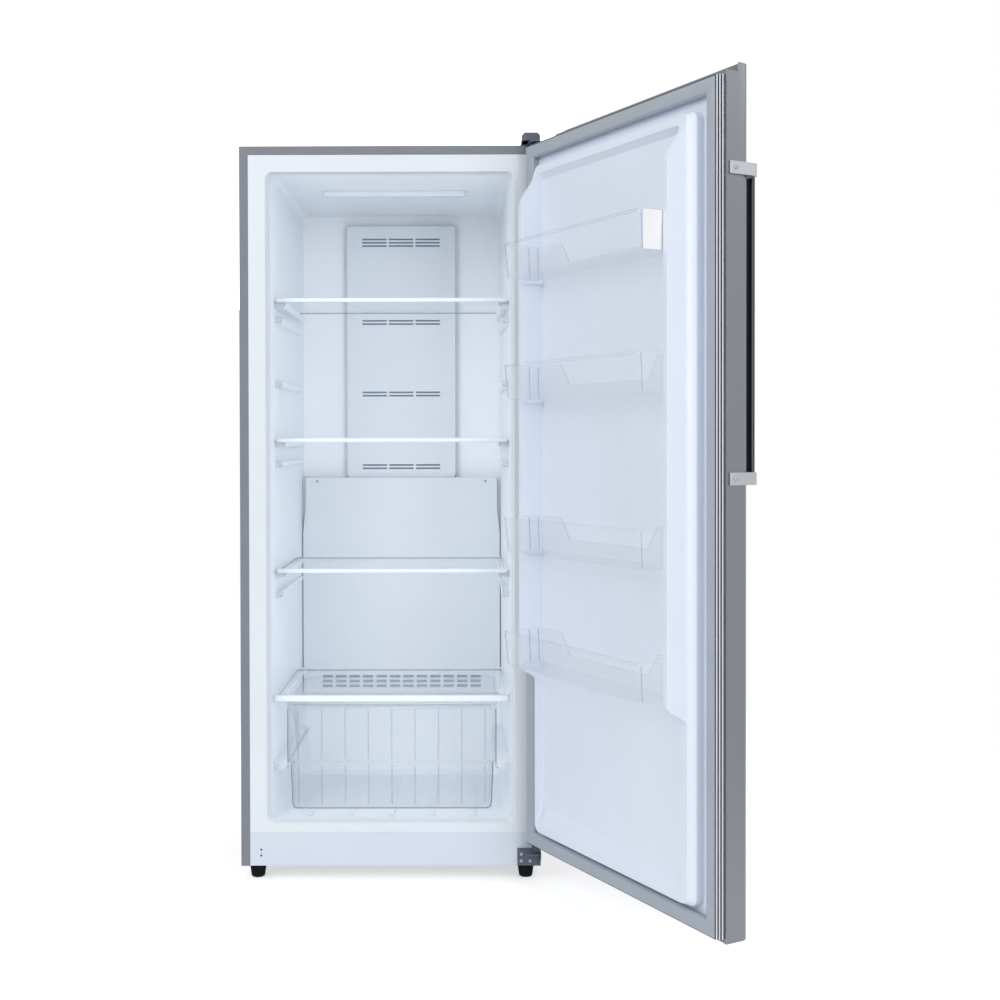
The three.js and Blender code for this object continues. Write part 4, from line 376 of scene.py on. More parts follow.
def merged_copy(node):
    """A CAD node's shape with its loose triangles joined into whole faces."""
    source = frame["nodes"][node].data
    shape = bmesh.new()
    corners = [shape.verts.new(v.co) for v in source.vertices]
    for face in source.polygons:
        try:
            shape.faces.new([corners[i] for i in face.vertices])
        except ValueError:
            pass
    bmesh.ops.remove_doubles(shape, verts=shape.verts, dist=CLOSED)
    bmesh.ops.dissolve_limit(shape, angle_limit=math.radians(FLAT), verts=shape.verts,
                             edges=shape.edges, delimit=set())
    return shape


def paint_faces(mesh, material, chosen):
    """Faces that `chosen` picks get a material of their own."""
    mesh.materials.append(material)
    for face in mesh.polygons:
        if chosen(face):
            face.material_index = len(mesh.materials) - 1


def mean_width(mesh, face):
    """A face's width, as if it were a long strip."""
    corners = [mesh.vertices[i].co for i in face.vertices]
    around = sum((a - b).length for a, b in zip(corners, corners[1:] + corners[:1]))
    return 2 * face.area / around if around else 0.0


def eased(node, name, material, body, width, segments=2, sharp=SHARP, edge=None, thin=0.0):
    """The CAD node with its sharp edges rounded, in its place. Faces under `thin` get `edge`."""
    piece = new_piece(name, to_mesh(merged_copy(node)), material, body)
    piece.data.shade_smooth()
    if edge:
        paint_faces(piece.data, edge, lambda face: mean_width(piece.data, face) < thin)
    bevel = piece.modifiers.new("eased_edges", "BEVEL")
    bevel.width = width
    bevel.segments = segments
    bevel.limit_method = "ANGLE"
    bevel.angle_limit = math.radians(sharp)
    bevel.miter_outer = "MITER_ARC"
    bevel.harden_normals = True
    bevel.use_clamp_overlap = True
    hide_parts(node)
    return piece


def shade_by_area(mesh):
    """Corner normals that leave broad flat faces flat and make the strips between them round."""
    mesh.shade_smooth()
    normals = [face.normal.copy() for face in mesh.polygons]
    areas = [face.area for face in mesh.polygons]
    broad = [mean_width(mesh, face) > BROAD for face in mesh.polygons]
    across, touching = {}, [[] for _ in mesh.vertices]
    for face in mesh.polygons:
        for edge in face.edge_keys:
            across.setdefault(edge, []).append(face.index)
        for corner in face.vertices:
            touching[corner].append(face.index)
    places = mesh.vertices
    for face in sorted(mesh.polygons, key=lambda face: -face.area):
        if face.area < SLIVER:
            longest = max(face.edge_keys, key=lambda e: (places[e[0]].co - places[e[1]].co).length)
            beside = [i for i in across[longest] if i != face.index]
            if beside:
                normals[face.index] = normals[beside[0]]
    limit = math.cos(math.radians(SHARP))
    corner_normals = [Vector((0, 0, 1))] * len(mesh.loops)
    for face in mesh.polygons:
        own = normals[face.index]
        for loop in face.loop_indices:
            if broad[face.index]:
                corner_normals[loop] = own
                continue
            total = own * 1e-9           # never quite zero
            for other in touching[mesh.loops[loop].vertex_index]:
                if areas[other] >= SLIVER and normals[other].dot(own) > limit:
                    total += normals[other] * areas[other]
            corner_normals[loop] = total.normalized()
    mesh.normals_split_custom_set(corner_normals)


def smoothed(node, name, material, body):
    """The CAD node with its curved faces shaded as curves, in its place."""
    piece = new_piece(name, to_mesh(merged_copy(node)), material, body)
    shade_by_area(piece.data)
    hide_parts(node)
    return piece


def finish_nodes(material, *nodes):
    """CAD nodes that stay as they are get their finish."""
    for node in nodes:
        mesh = frame["nodes"][node].data
        mesh.materials.clear()
        mesh.materials.append(material)


eased("outer_shell", "shell_sheet", cabinet_paint_lit_front, "cabinet", 0.0006)
eased("door_skin", "door_sheet", door_steel, "door", 0.0004)
tub = smoothed("inner_liner", "cabinet_tub", liner_white, "cabinet")
paint_faces(tub.data, ledge_front_shade, lambda face: face.normal.y < -0.3       # the ledges' front faces, painted darker as shade
            and mean_width(tub.data, face) < LEDGE and 0.03 < face.center.y - CABINET_Y < 0.5)
smoothed("door_liner", "door_tub", door_white, "door")
smoothed("kick_panel", "kick_strip", kick_white, "cabinet")
smoothed("air_duct_panel", "duct_panel", panel_white, "cabinet")
smoothed("evaporator_cover", "return_panel", panel_white, "cabinet")
eased("crisper_trim", "crisper_front", trim_white, "cabinet", 0.0008)
for number in (1, 2, 3):
    eased(f"shelf_trim_{number}", f"shelf_front_{number}", trim_white, f"shelf_{number}",
          0.0008)
    eased(f"shelf_glass_{number}", f"shelf_pane_{number}", shelf_glass, f"shelf_{number}",
          0.0007, edge=glass_edge, thin=PANE_EDGE)
eased("crisper_glass", "crisper_pane", shelf_glass, "cabinet", 0.0007,
      edge=glass_edge, thin=PANE_EDGE)
eased("freezer_drawer", "drawer_tray", drawer_clear, "drawer", 0.0007,
      edge=drawer_edge, thin=TRAY_EDGE)
for number in (1, 2, 3, 4):
    eased(f"door_bin_{number}", f"bin_tray_{number}", bin_clear, f"bin_{number}",
          0.0007, edge=bin_edge, thin=TRAY_EDGE)
for end in ("top", "bottom"):
    eased(f"door_{end}_cap", f"{end}_cap", cap_grey, "door", 0.0007)
seal = eased("door_gasket", "door_seal", gasket_vinyl, "door", 0.0004)
into_door = DOOR_TURN.to_3x3().inverted()
# Painted shadow in the folds' grooves and painted highlight on the lips.
paint_faces(seal.data, gasket_groove_shadow, lambda face: 0.8 < abs((into_door @ face.normal).y) < 0.98)
paint_faces(seal.data, gasket_lip_highlight, lambda face: abs((into_door @ face.normal).y) < 0.1
            and mean_width(seal.data, face) < LIP)
bar = eased("handle_bar", "grip_bar", bar_steel_dark_reflection, "door", 0.0006, sharp=50.0)
# The front and inner faces take the lighter steel, a painted reflection.
paint_faces(bar.data, bar_front_light_reflection, lambda face: (into_door @ face.normal).y < -0.5
            or (into_door @ face.normal).x > 0.5)
for side in ("upper", "lower"):
    eased(f"handle_strap_{side}", f"grip_bracket_{side}", strap_steel, "door", 0.0008)
eased("display_window", "display_glass", window_black, "door", 0.0006)
eased("upper_hinge", "top_hinge", hinge_paint, "cabinet", 0.0005)
eased("hinge_cover", "top_hinge_cover", cap_dark, "cabinet", 0.002, 3)
eased("lower_hinge", "bottom_hinge", hinge_paint, "cabinet", 0.0006)
eased("lamp_cover", "ceiling_lamp", lamp_lens, "cabinet", 0.0007)
for side in ("left", "right"):
    eased(f"{side}_foot", f"foot_{side}", foot_black, f"{side}_foot", 0.0006)
eased("back_panel", "rear_sheet", zinc_sheet, "cabinet", 0.0006)
smoothed("compressor_cover", "rear_grille", enamel_black, "cabinet")

finish_nodes(zinc_sheet, "base_pan", "machine_room_wall")
finish_nodes(foam_cream, "cabinet_foam", "door_foam")
finish_nodes(bare_aluminium, "evaporator_coil")
finish_nodes(enamel_black, "defrost_heater", "compressor", "condenser_coil")
finish_nodes(copper_tube, "filter_drier", "suction_line", "discharge_line")
finish_nodes(board_green, "lamp_board", "display_board")
finish_nodes(cap_grey, "drain_tube")
finish_nodes(foot_black, "power_gland")
finish_nodes(inner_dark_and_recess_shade, "evaporator_fan_motor", "evaporator_fan", "condenser_fan_motor",
             "condenser_fan", "drip_pan", "control_box", "left_roller", "right_roller")

for piece in bpy.data.objects:           # what is clear lets the light through
    finishes = piece.data.materials if piece.type == "MESH" else ()
    if finishes and finishes[0] in (bin_clear, drawer_clear, shelf_glass):
        piece.visible_shadow = piece.name.startswith("bin_tray")
        piece.visible_diffuse = False

# -------------------------------------------------------------------------------------------
# What repeats: screws, plates behind the air slots, lens ribs, evaporator fins, foot ribs
# -------------------------------------------------------------------------------------------


def repeat_tree(name, sizes, build):
    """A Geometry Nodes tree that repeats a shape on the points that `build` gives it."""
    tree = bpy.data.node_groups.new(name, "GeometryNodeTree")
    face = tree.interface
    face.new_socket("Points", in_out="INPUT", socket_type="NodeSocketGeometry")
    for label, kind in [("Shape", "Object"), ("Finish", "Material"), *sizes]:
        face.new_socket(label, in_out="INPUT", socket_type="NodeSocket" + kind)
    face.new_socket("Result", in_out="OUTPUT", socket_type="NodeSocketGeometry")
    start, end = tree.nodes.new("NodeGroupInput"), tree.nodes.new("NodeGroupOutput")

    points, turn, centre = build(tree, start.outputs)
    shape = add_node(tree, "GeometryNodeObjectInfo",
                     {"Object": start.outputs["Shape"], "As Instance": True})
    placed = add_node(tree, "GeometryNodeInstanceOnPoints",
                      {"Points": points, "Instance": shape.outputs["Geometry"], "Rotation": turn})
    whole = add_node(tree, "GeometryNodeRealizeInstances", {"Geometry": placed.outputs[0]})
    if centre:
        whole = add_node(tree, "GeometryNodeTransform",
                         {"Geometry": whole.outputs[0], "Translation": centre})
    dressed = add_node(tree, "GeometryNodeSetMaterial",
                       {"Geometry": whole.outputs[0], "Material": start.outputs["Finish"]})
    tree.links.new(dressed.outputs[0], end.inputs[0])
    return tree


def points_given(tree, given):
    return given["Points"], given["Turn"], None


def points_in_row(tree, given):
    line = add_node(tree, "GeometryNodeMeshLine",
                    {"Count": given["Count"], "Start Location": given["Start"],
                     "Offset": given["Step"]}, mode="OFFSET")
    return line.outputs[0], given["Turn"], None


def points_in_ring(tree, given):
    ring = add_node(tree, "GeometryNodeMeshCircle",
                    {"Vertices": given["Count"], "Radius": given["Radius"]})
    outward = add_node(tree, "FunctionNodeAlignRotationToVector",
                       {"Vector": add_node(tree, "GeometryNodeInputPosition").outputs[0]}, axis="X")
    return ring.outputs[0], outward.outputs[0], given["Centre"]


at_points = repeat_tree("repeat_at_points", [("Turn", "Vector")], points_given)
in_row = repeat_tree("repeat_in_row", [
    ("Count", "Int"), ("Start", "Vector"), ("Step", "Vector"), ("Turn", "Vector")], points_in_row)
in_ring = repeat_tree("repeat_in_ring", [
    ("Count", "Int"), ("Radius", "Float"), ("Centre", "Vector")], points_in_ring)


def repeated(name, tree, shape, material, body, slot, points=(), **sizes):
    """One piece made of many copies of a shape."""
    carrier_mesh = bpy.data.meshes.new("points")
    carrier_mesh.from_pydata([tuple(point) for point in points], [], [])
    carrier = bpy.data.objects.new("points", carrier_mesh)
    unit = bpy.data.objects.new("unit", shape)
    for each in (carrier, unit):
        bpy.context.scene.collection.objects.link(each)
    modifier = carrier.modifiers.new("repeat", "NODES")
    modifier.node_group = tree
    values = {"Shape": unit, "Finish": material, **sizes}
    for socket in tree.interface.items_tree:
        if socket.in_out == "INPUT" and socket.name in values:
            modifier[socket.identifier] = values[socket.name]
    carrier.update_tag()
    evaluated = carrier.evaluated_get(bpy.context.evaluated_depsgraph_get())
    mesh = bpy.data.meshes.new_from_object(evaluated)
    carrier.modifiers.clear()
    for each in (carrier, unit):
        bpy.data.objects.remove(each)
    new_piece(name, mesh, material, body, rounded=True)


def solid(*forms):
    """Closed forms as one mesh, each through rings of as many points, in metres."""
    shape = bmesh.new()
    for form in forms:
        rings = [[shape.verts.new(point) for point in ring] for ring in form]
        for first, second in zip(rings, rings[1:]):
            for k in range(len(first)):
                after = (k + 1) % len(first)
                shape.faces.new((first[k], first[after], second[after], second[k]))
        shape.faces.new(reversed(rings[0]))
        shape.faces.new(rings[-1])
    bmesh.ops.recalc_face_normals(shape, faces=shape.faces)
    return to_mesh(shape)


def slab(outline, low, high):
    """A flat outline in millimetres, given thickness along Z."""
    return solid([[in_metres(x, y, z) for x, y in outline] for z in (low, high)])


def oblong(x, y):
    """The corners of an oblong about the middle, from half its sides."""
    return [(-x, -y), (x, -y), (x, y), (-x, y)]


def cross_head(radius, height, shank=0.0):
    """A domed screw head with a cross recess. It sits on z = 0, facing +Z."""
    rings = [(radius, 0), (radius, height * 0.45), (radius * 0.86, height * 0.8),
             (radius * 0.5, height)]
    if shank:
        rings = [(radius * 0.45, -shank), (radius * 0.45, 0), *rings]
    turns = [math.radians(20 * k) for k in range(18)]
    head = bpy.data.objects.new("head", solid(
        [[in_metres(r * math.cos(a), r * math.sin(a), z) for a in turns] for r, z in rings]))
    arm, thick = radius * 0.62, radius * 0.13
    outline = [(arm, -thick), (arm, thick), (thick, thick), (thick, arm), (-thick, arm),
               (-thick, thick), (-arm, thick), (-arm, -thick), (-thick, -thick), (-thick, -arm),
               (thick, -arm), (thick, -thick)]
    cross = bpy.data.objects.new("cross", slab(outline, height * 0.4, height + 1))
    for each in (head, cross):
        bpy.context.scene.collection.objects.link(each)
    recess = head.modifiers.new("recess", "BOOLEAN")
    recess.operation, recess.solver, recess.object = "DIFFERENCE", "EXACT", cross
    evaluated = head.evaluated_get(bpy.context.evaluated_depsgraph_get())
    mesh = bpy.data.meshes.new_from_object(evaluated)
    for each in (head, cross):
        bpy.data.objects.remove(each)
    return mesh


FACING_FRONT = (math.pi / 2, 0.0, 0.0)
FACING_BACK = (-math.pi / 2, 0.0, 0.0)
UNTURNED = (0.0, 0.0, 0.0)


def screws(name, places, turn, radius, height, slot):
    repeated(name, at_points, cross_head(radius, height), screw_steel, "cabinet", slot,
             points=[in_cabinet(*place) for place in places], Turn=turn)


screws("return_panel_screws", [(x, BACK_WALL - 38, 934) for x in (-231, 231)],
       FACING_FRONT, 3.6, 1.6, "dark_steel")
screws("bottom_hinge_screws", [(x, -3.3, z) for x in (309, 330) for z in (48, 64)],
       FACING_FRONT, 3.8, 1.8, "dark_steel")
screws("rear_grille_screws", [(x, DEPTH - 2, z) for x in (-340, -115, 115, 340) for z in (44, 292)],
       FACING_BACK, 4.0, 1.6, "dark_steel")
screws("rear_sheet_screws",
       [(x, DEPTH, z) for x in (-340, 340) for z in (360, 700, 1040, 1380, 1720)],
       FACING_BACK, 3.6, 1.5, "zinc_steel")


def add_backing(name, half_width, half_height, depth, heights):
    """Plates behind a panel's openings, at a depth in front of the back wall, whose blue-grey is
    painted shade seen through the openings.
    """
    repeated(name, at_points, slab(oblong(half_width, 0.8), -half_height, half_height), slot_shade_grey,
             "cabinet", "white_plastic",
             points=[in_cabinet(0, BACK_WALL - depth, z) for z in heights], Turn=UNTURNED)


cover_low, cover_high = (corner.z * 1000 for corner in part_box("evaporator_cover"))
add_backing("vent_inserts", 112, 17, 18, (1589.5, 1370.5, 1173.6, 973.5))
add_backing("return_insert", 245, 24, 30, [cover_low + 32])

for height, side in zip(STRAP_HEIGHTS, ("upper", "lower")):
    screw = cross_head(4.4, 2.1, shank=5.0)
    paint_faces(screw, inner_dark_and_recess_shade, lambda face: 0.6 < face.center.z * 1000 < 2.05    # the cross recess, painted dark as shade
                and max(abs(face.center.x), abs(face.center.y)) < 0.0030)
    place = Matrix.Translation(in_door(STRAP_OUTER - 0.3, STRAP_SCREW_DEPTH, height))
    turned = Matrix.Rotation(OPEN_ANGLE, 4, "Z") @ Matrix.Rotation(-math.pi / 2, 4, "Y")
    screw.transform(place @ turned)
    screw = new_piece(f"grip_screw_{side}", screw, screw_steel, "door", rounded=True)
    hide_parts(f"handle_screw_{side}")

lamp_low, lamp_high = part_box("lamp_cover")
LENS_COUNT, LENS_MARGIN = 33, 0.012
lens_step = (lamp_high.x - lamp_low.x - 2 * LENS_MARGIN) / (LENS_COUNT - 1)
repeated("lamp_lens_ribs", in_row, slab(oblong(0.7, 12), -0.7, 0.3), lens_rib, "cabinet",
         "lamp_diffuser", Count=LENS_COUNT, Step=(lens_step, 0.0, 0.0), Turn=UNTURNED,
         Start=(lamp_low.x + LENS_MARGIN, (lamp_low.y + lamp_high.y) / 2, lamp_low.z))

coil_low, coil_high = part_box("evaporator_coil")
FIN_COUNT, FIN_STEP = 49, 0.007
repeated("evaporator_fins", in_row, slab(oblong(0.15, 25), -112, 112), bare_aluminium, "cabinet",
         "aluminium_fins", Count=FIN_COUNT, Step=(FIN_STEP, 0.0, 0.0), Turn=UNTURNED,
         Start=(CABINET_X - FIN_STEP * (FIN_COUNT - 1) / 2, coil_high.y - 0.027,
                (coil_low.z + coil_high.z) / 2))

rib_section = ((-1.2, -0.9), (0.9, -0.5), (0.9, 0.5), (-1.2, 0.9))
foot_rib = solid([[in_metres(out + x, y, z) for x, y in rib_section]
                  for out, z in ((-1.9, 2.2), (1.9, 28.5))])
for side in ("left", "right"):
    low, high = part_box(f"{side}_foot")
    repeated(f"foot_ribs_{side}", in_ring, foot_rib, foot_black, f"{side}_foot", "black_rubber",
             Count=22, Radius=0.0169, Centre=((low.x + high.x) / 2, (low.y + high.y) / 2, 0.0))

# -------------------------------------------------------------------------------------------
# The display's marks and the corners of its hole
# -------------------------------------------------------------------------------------------


def on_display(outlines, name, material):
    """Flat outlines in millimetres right of and below the window's upper left corner, one piece."""
    marks = [[[in_door(DISPLAY_LEFT + x, DOOR_FRONT - lift, DISPLAY_TOP - down)
               for x, down in outline] for lift in (0.6, 0.75)] for outline in outlines]
    new_piece(name, solid(*marks), material, "door")


def digit(x, down, lit):
    """The lit bars of a seven-bar figure."""
    width, height, bar, gap, slant = 12.0, 20.0, 2.2, 0.5, 0.10
    half = height / 2

    def level(y):
        left, right = x + bar * 1.1, x + width - bar * 1.1
        return [(x + bar * 0.5 + gap, y), (left, y - bar / 2), (right, y - bar / 2),
                (x + width - bar * 0.5 - gap, y), (right, y + bar / 2), (left, y + bar / 2)]

    def upright(at, top):
        low = top + half
        return [(at, top + gap), (at + bar / 2, top + bar * 0.6), (at + bar / 2, low - bar * 0.6),
                (at, low - gap), (at - bar / 2, low - bar * 0.6), (at - bar / 2, top + bar * 0.6)]

    left, right = x + bar / 2, x + width - bar / 2
    bars = {"top": level(down), "middle": level(down + half), "foot": level(down + height),
            "upper_left": upright(left, down), "upper_right": upright(right, down),
            "lower_left": upright(left, down + half), "lower_right": upright(right, down + half)}
    return [[(u + slant * (down + height - v), v) for u, v in bars[which]] for which in lit]


def ring_mark(x, down, wide, high):
    """A rounded frame, as short straight strips."""
    line, corner = 0.7, 2.5

    def path(reach):
        points = []
        for turn, (cx, cy) in enumerate([(wide - corner, high - corner), (corner, high - corner),
                                         (corner, corner), (wide - corner, corner)]):
            for k in range(4):
                a = math.radians(90 * turn + 30 * k)
                points.append((x + cx + reach * math.cos(a), down + cy + reach * math.sin(a)))
        return points

    outer, inner = path(corner), path(corner - line)
    following = [(k, (k + 1) % len(outer)) for k in range(len(outer))]
    return [[outer[k], outer[after], inner[after], inner[k]] for k, after in following]


def disc(x, down, radius):
    turns = [math.radians(30 * k) for k in range(12)]
    return [(x + radius * math.cos(a), down + radius * math.sin(a)) for a in turns]


def bar_mark(x, down, wide, high):
    return [(x, down), (x + wide, down), (x + wide, down + high), (x, down + high)]


def add_display_corners():
    """The four rounded corners of the window's hole in the door sheet."""
    low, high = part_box("display_window")
    middle = (low.z + high.z) * 500
    half_width, half_height, radius = 31.2, 64.2, 7.15
    centre_x, centre_z = 24, 57
    turns = [math.radians(15 * k) for k in range(7)]
    outline = [(half_width, half_height)] + [(centre_x + radius * math.cos(a),
                                              centre_z + radius * math.sin(a)) for a in turns]
    corners = [[[in_door(DOOR_MIDDLE + across * x, y, middle + up * z) for x, z in outline]
                for y in (DOOR_FRONT + 1.0, DOOR_FRONT)] for across in (1, -1) for up in (1, -1)]
    new_piece("display_corners", solid(*corners), door_steel, "door")


add_display_corners()
ALL_BARS = ("top", "upper_left", "upper_right", "middle", "lower_left", "lower_right", "foot")
on_display([bar_mark(6.4, 18.6, 6.0, 2.2), *digit(18.5, 10.0, ("upper_right", "lower_right")),
            *digit(33.5, 10.0, ALL_BARS)], "display_figures", digit_blue)
on_display([[(21, 84.5), (24.2, 78.5), (27.4, 84.5)], [(34, 78.8), (40.4, 78.8), (37.2, 84.8)],
            disc(25, 67, 1.6), disc(23.6, 97.2, 1.5), bar_mark(30.2, 78.8, 1.0, 1.2),
            bar_mark(30.2, 82.2, 1.0, 1.2)], "display_signs", icon_white)
on_display([bar_mark(15.6, 49.0, 11, 1.0), bar_mark(17.6, 52.4, 9, 1.0),
            bar_mark(20.6, 55.6, 6, 1.0), bar_mark(32.0, 55.6, 15, 1.0),
            [(33, 54.6), (36, 49.6), (39, 54.6)], [(39, 54.6), (42.5, 48.6), (46, 54.6)],
            *ring_mark(30.5, 63.5, 11.5, 7.5), *ring_mark(29.5, 90.5, 12.5, 10.5)],
           "display_frames", icon_dim)

# -------------------------------------------------------------------------------------------
# Seals beside the evaporator's cover, fine lines of the bins, the drawer's painted seam shadow, a
# painted reflection on a bin
# -------------------------------------------------------------------------------------------


def add_return_seal(name, side):
    """A thin strip that closes the gap between the evaporator's cover and the tub's wall."""
    narrow, wide, wall = 263.3, 270.2, 271.4      # half widths of the cover and the tub
    front, back = 514, 530
    levels = ((cover_high - 3, narrow), (cover_high - 90, narrow), (cover_high - 150, wide),
              (cover_low + 3, wide))
    rings = [[in_cabinet(side * x, y, z) for x, y in ((inner, front), (wall, front), (wall, back),
                                                      (inner, back))] for z, inner in levels]
    new_piece(name, solid(rings), panel_white, "cabinet")


def add_bin_ribs(number):
    """Fine upright lines on a bin's rounded corners and end walls, which lean in downwards."""
    low, high = (corner.z * 1000 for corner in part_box(f"door_bin_{number}"))
    radius, front_lean = 14, 6
    corner = BIN_HALF - radius + radius * math.cos(math.radians(45))
    ribs = []
    for side in (-1, 1):
        for across, depth, wide, deep, lean in (
                (corner, BIN_DEPTH - BIN_HALF + corner, 0.6, 0.6, front_lean),
                (BIN_HALF, 34.0, 0.4, 0.7, 0), (BIN_HALF, 10.0, 0.4, 0.7, 0)):
            ribs.append([[in_door(DOOR_MIDDLE + side * (across - BIN_LEAN * down) + u,
                                  BIN_BACK + depth - lean * down + v, z)
                          for u, v in oblong(wide, deep)]
                         for z, down in ((low + 3, 1), (high - 3, 0))])
    new_piece(f"bin_ribs_{number}", solid(*ribs), bin_edge, f"bin_{number}")


def drawer_rise(z):
    """0 at the drawer's bottom, 1 at the step under its runners."""
    return (z - DRAWER_LOW) / (DRAWER_STEP - DRAWER_LOW)


def drawer_half(z):
    """Half the drawer's width at a height: it steps in under its runners and tapers downwards."""
    return 253.0 if z > DRAWER_STEP else 241.5 + 4 * drawer_rise(z)


def drawer_front(x, z):
    """The front face of the drawer, which has rounded upright corners."""
    radius = 12
    front = 40.0 if z > DRAWER_STEP else 46.0 - 2 * drawer_rise(z)
    beyond = max(0.0, abs(x) - (drawer_half(z) - radius))
    return front + radius - math.sqrt(radius ** 2 - min(beyond, radius - 0.1) ** 2)


def drawer_outline():
    """The seam's path, as (x, z): down one side, along the bottom and up the other side."""
    inset, radius, corner_z = 2.6, 13, DRAWER_LOW + 16
    half = [(drawer_half(z) - inset, z) for z in (DRAWER_HIGH - 12, 340, DRAWER_STEP + 0.5,
                                                  DRAWER_STEP - 0.5, 230, corner_z)]
    corner_x = half[-1][0] - radius
    for k in range(1, 7):
        turn = math.radians(15 * k)
        half.append((corner_x + radius * math.cos(turn), corner_z - radius * math.sin(turn)))
    return half + [(-x, z) for x, z in reversed(half)]


def add_drawer_seam_shadow():
    """A dark strip of even width round the drawer's front: painted shadow in the joint between its
    front panel and its tray.
    """
    path, width, rings = drawer_outline(), 1.7, []
    for k, (x, z) in enumerate(path):
        before, after = path[max(k - 1, 0)], path[min(k + 1, len(path) - 1)]
        along = Vector((after[0] - before[0], after[1] - before[1])).normalized()
        side = Vector((-along.y, along.x)) * width / 2
        outer, inner = (x + side.x, z + side.y), (x - side.x, z - side.y)
        rings.append([in_cabinet(u, drawer_front(u, v) + sunk, v) for (u, v), sunk in (
            (outer, 0.05), (inner, 0.05), (inner, -0.5), (outer, -0.5))])
    new_piece("drawer_front_seam", solid(rings), seam_shadow_grey, "drawer")


def add_bin_reflection():
    """A plain white patch on the outside of the top bin's end wall: a painted reflection of a
    light.
    """
    bottom, top = (corner.z * 1000 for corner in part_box("door_bin_1"))
    wall, slope = DOOR_MIDDLE - BIN_HALF, BIN_LEAN / 78
    outline = ((74, bottom + 2), (128, bottom + 2), (130, top - 1.5), (70, top - 1.5))
    rings = [[in_door(wall + slope * (top - z) - lift, y, z) for y, z in outline]
             for lift in (0.05, 0.3)]
    new_piece("bin_sticker", solid(rings), reflection_white, "bin_1")


add_return_seal("return_seal_left", -1)
add_return_seal("return_seal_right", 1)
for number in (1, 2, 3, 4):
    add_bin_ribs(number)
add_drawer_seam_shadow()
add_bin_reflection()

# -------------------------------------------------------------------------------------------
# Studio: camera, lamps, surroundings, floor
# -------------------------------------------------------------------------------------------

FRAME_SCALE = 1.2        # the photograph's object is drawn this much larger here
FOCUS = 1.101            # the photograph's focal length, in widths of its frame
SENSOR = 36.0
OBJECT_MIDDLE = (747, 491)             # in the photograph, in thousandths of its width
PERSPECTIVE_MIDDLE = (718.7, 456.3)
CAMERA_PLACE = in_cabinet(190.8, -3124, 1039)
CAMERA_TURN = (0.2023, 0.6756, 0.1029)      # to the left, down and about its axis, in degrees
FLOOR_LIFT = 0.45        # the floor's own light where the eye sees it, so that it reads white
FLOOR_FADE = (0.9, 2.6)  # the floor fades out between these distances, in metres


def add_camera():
    data = bpy.data.cameras.new("view")
    data.sensor_fit = "HORIZONTAL"
    data.sensor_width = SENSOR
    data.lens = SENSOR * FOCUS * FRAME_SCALE
    data.shift_x = (OBJECT_MIDDLE[0] - PERSPECTIVE_MIDDLE[0]) * FRAME_SCALE / 1000
    data.shift_y = -(OBJECT_MIDDLE[1] - PERSPECTIVE_MIDDLE[1]) * FRAME_SCALE / 1000
    data.clip_start = 0.05
    data.clip_end = 60.0
    camera = bpy.data.objects.new("view", data)
    bpy.context.scene.collection.objects.link(camera)
    camera.location = CAMERA_PLACE
    yaw, down, roll = (math.radians(a) for a in CAMERA_TURN)
    turn = Matrix.Rotation(yaw, 4, "Z") @ Matrix.Rotation(math.pi / 2 - down, 4, "X")
    turn = turn @ Matrix.Rotation(-roll, 4, "Z")
    camera.rotation_euler = turn.to_euler()
    bpy.context.scene.camera = camera


def add_lamp(name, place, target, size, watts, seen=True):
    """A soft rectangular lamp. One that isn't seen lights without being mirrored."""
    data = bpy.data.lights.new(name, "AREA")
    data.shape = "RECTANGLE"
    data.size, data.size_y = size
    data.energy = watts
    lamp = bpy.data.objects.new(name, data)
    lamp.visible_camera = lamp.visible_glossy = lamp.visible_transmission = seen
    bpy.context.scene.collection.objects.link(lamp)
    lamp.location = place
    lamp.rotation_euler = (Vector(target) - Vector(place)).to_track_quat("-Z", "Y").to_euler()


def seen_directly(tree):
    """One for rays that show a surface to the eye, straight or by way of metal and glass."""
    path = add_node(tree, "ShaderNodeLightPath").outputs
    total = path["Is Camera Ray"]
    for other in ("Is Glossy Ray", "Is Transmission Ray"):
        most = add_node(tree, "ShaderNodeMath", {0: total, 1: path[other]}, operation="MAXIMUM")
        total = most.outputs[0]
    return total


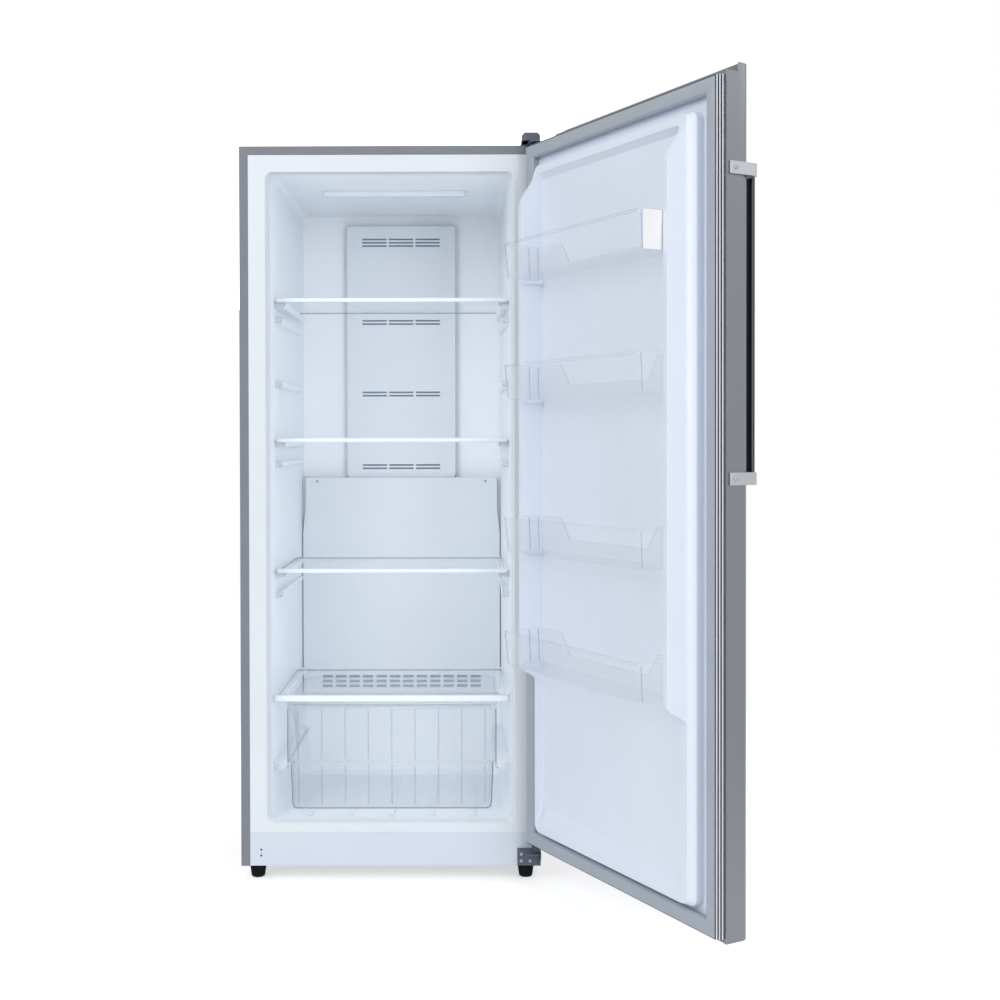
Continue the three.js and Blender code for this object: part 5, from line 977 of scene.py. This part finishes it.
def add_world():
    """White where the eye sees it, and a light that grows from below to above."""
    world = bpy.data.worlds.new("studio")
    bpy.context.scene.world = world
    world.use_nodes = True
    tree = world.node_tree
    shown = tree.nodes["Background"]
    shown.inputs["Color"].default_value = (1, 1, 1, 1)
    shown.inputs["Strength"].default_value = 1.0
    direction = add_node(tree, "ShaderNodeTexCoord").outputs["Generated"]
    height = add_node(tree, "ShaderNodeSeparateXYZ", {0: direction}).outputs["Z"]
    lighting = add_node(tree, "ShaderNodeBackground", {
        "Color": (0.97, 0.985, 1.0, 1), "Strength": ranged(tree, height, -1.0, 1.0, 0.30, 0.66)})
    mix = add_node(tree, "ShaderNodeMixShader", {
        0: seen_directly(tree), 1: lighting.outputs[0], 2: shown.outputs[0]})
    tree.links.new(mix.outputs[0], tree.nodes["World Output"].inputs["Surface"])


def add_floor():
    shape = bmesh.new()
    bmesh.ops.create_circle(shape, cap_ends=True, segments=96, radius=4.0)
    floor = bpy.data.objects.new("floor", to_mesh(shape, "floor"))
    bpy.context.scene.collection.objects.link(floor)
    floor.location = (0, 0, -0.0005)
    finish = Finish("floor_white", (0.90, 0.90, 0.905), 0.9, Specular_IOR_Level=0.1,
                    Emission_Color=(1, 1, 1, 1))
    inputs = {0: seen_directly(finish.tree), 1: FLOOR_LIFT}
    lift = finish.node("ShaderNodeMath", inputs, operation="MULTIPLY")
    finish.link(lift.outputs[0], "Emission Strength")
    place = finish.node("ShaderNodeTexCoord").outputs["Object"]
    distance = finish.node("ShaderNodeVectorMath", {0: place}, operation="LENGTH").outputs["Value"]
    fade = ranged(finish.tree, distance, *FLOOR_FADE, 1.0, 0.0, interpolation_type="SMOOTHERSTEP")
    finish.link(fade, "Alpha")
    floor.data.materials.append(finish.material)


add_camera()
add_world()
add_floor()
add_lamp("key", in_cabinet(-2000, -3000, 2800), in_cabinet(100, 0, 900), (2.2, 2.2), 50)
add_lamp("fill", in_cabinet(1840, -3350, 1500), in_cabinet(300, -200, 900), (1.2, 2.4), 38)
add_lamp("side", in_cabinet(3300, -700, 3000), in_cabinet(500, -500, 1200), (1.8, 1.2), 9)
add_lamp("back", in_cabinet(-600, 3400, 2600), in_cabinet(0, 600, 900), (2.6, 2.0), 34)
add_lamp("inside", in_cabinet(0, 12, 908), in_cabinet(0, 500, 908), (0.55, 1.50), 1.5, seen=False)
bpy.context.scene.view_settings.view_transform = "Standard"
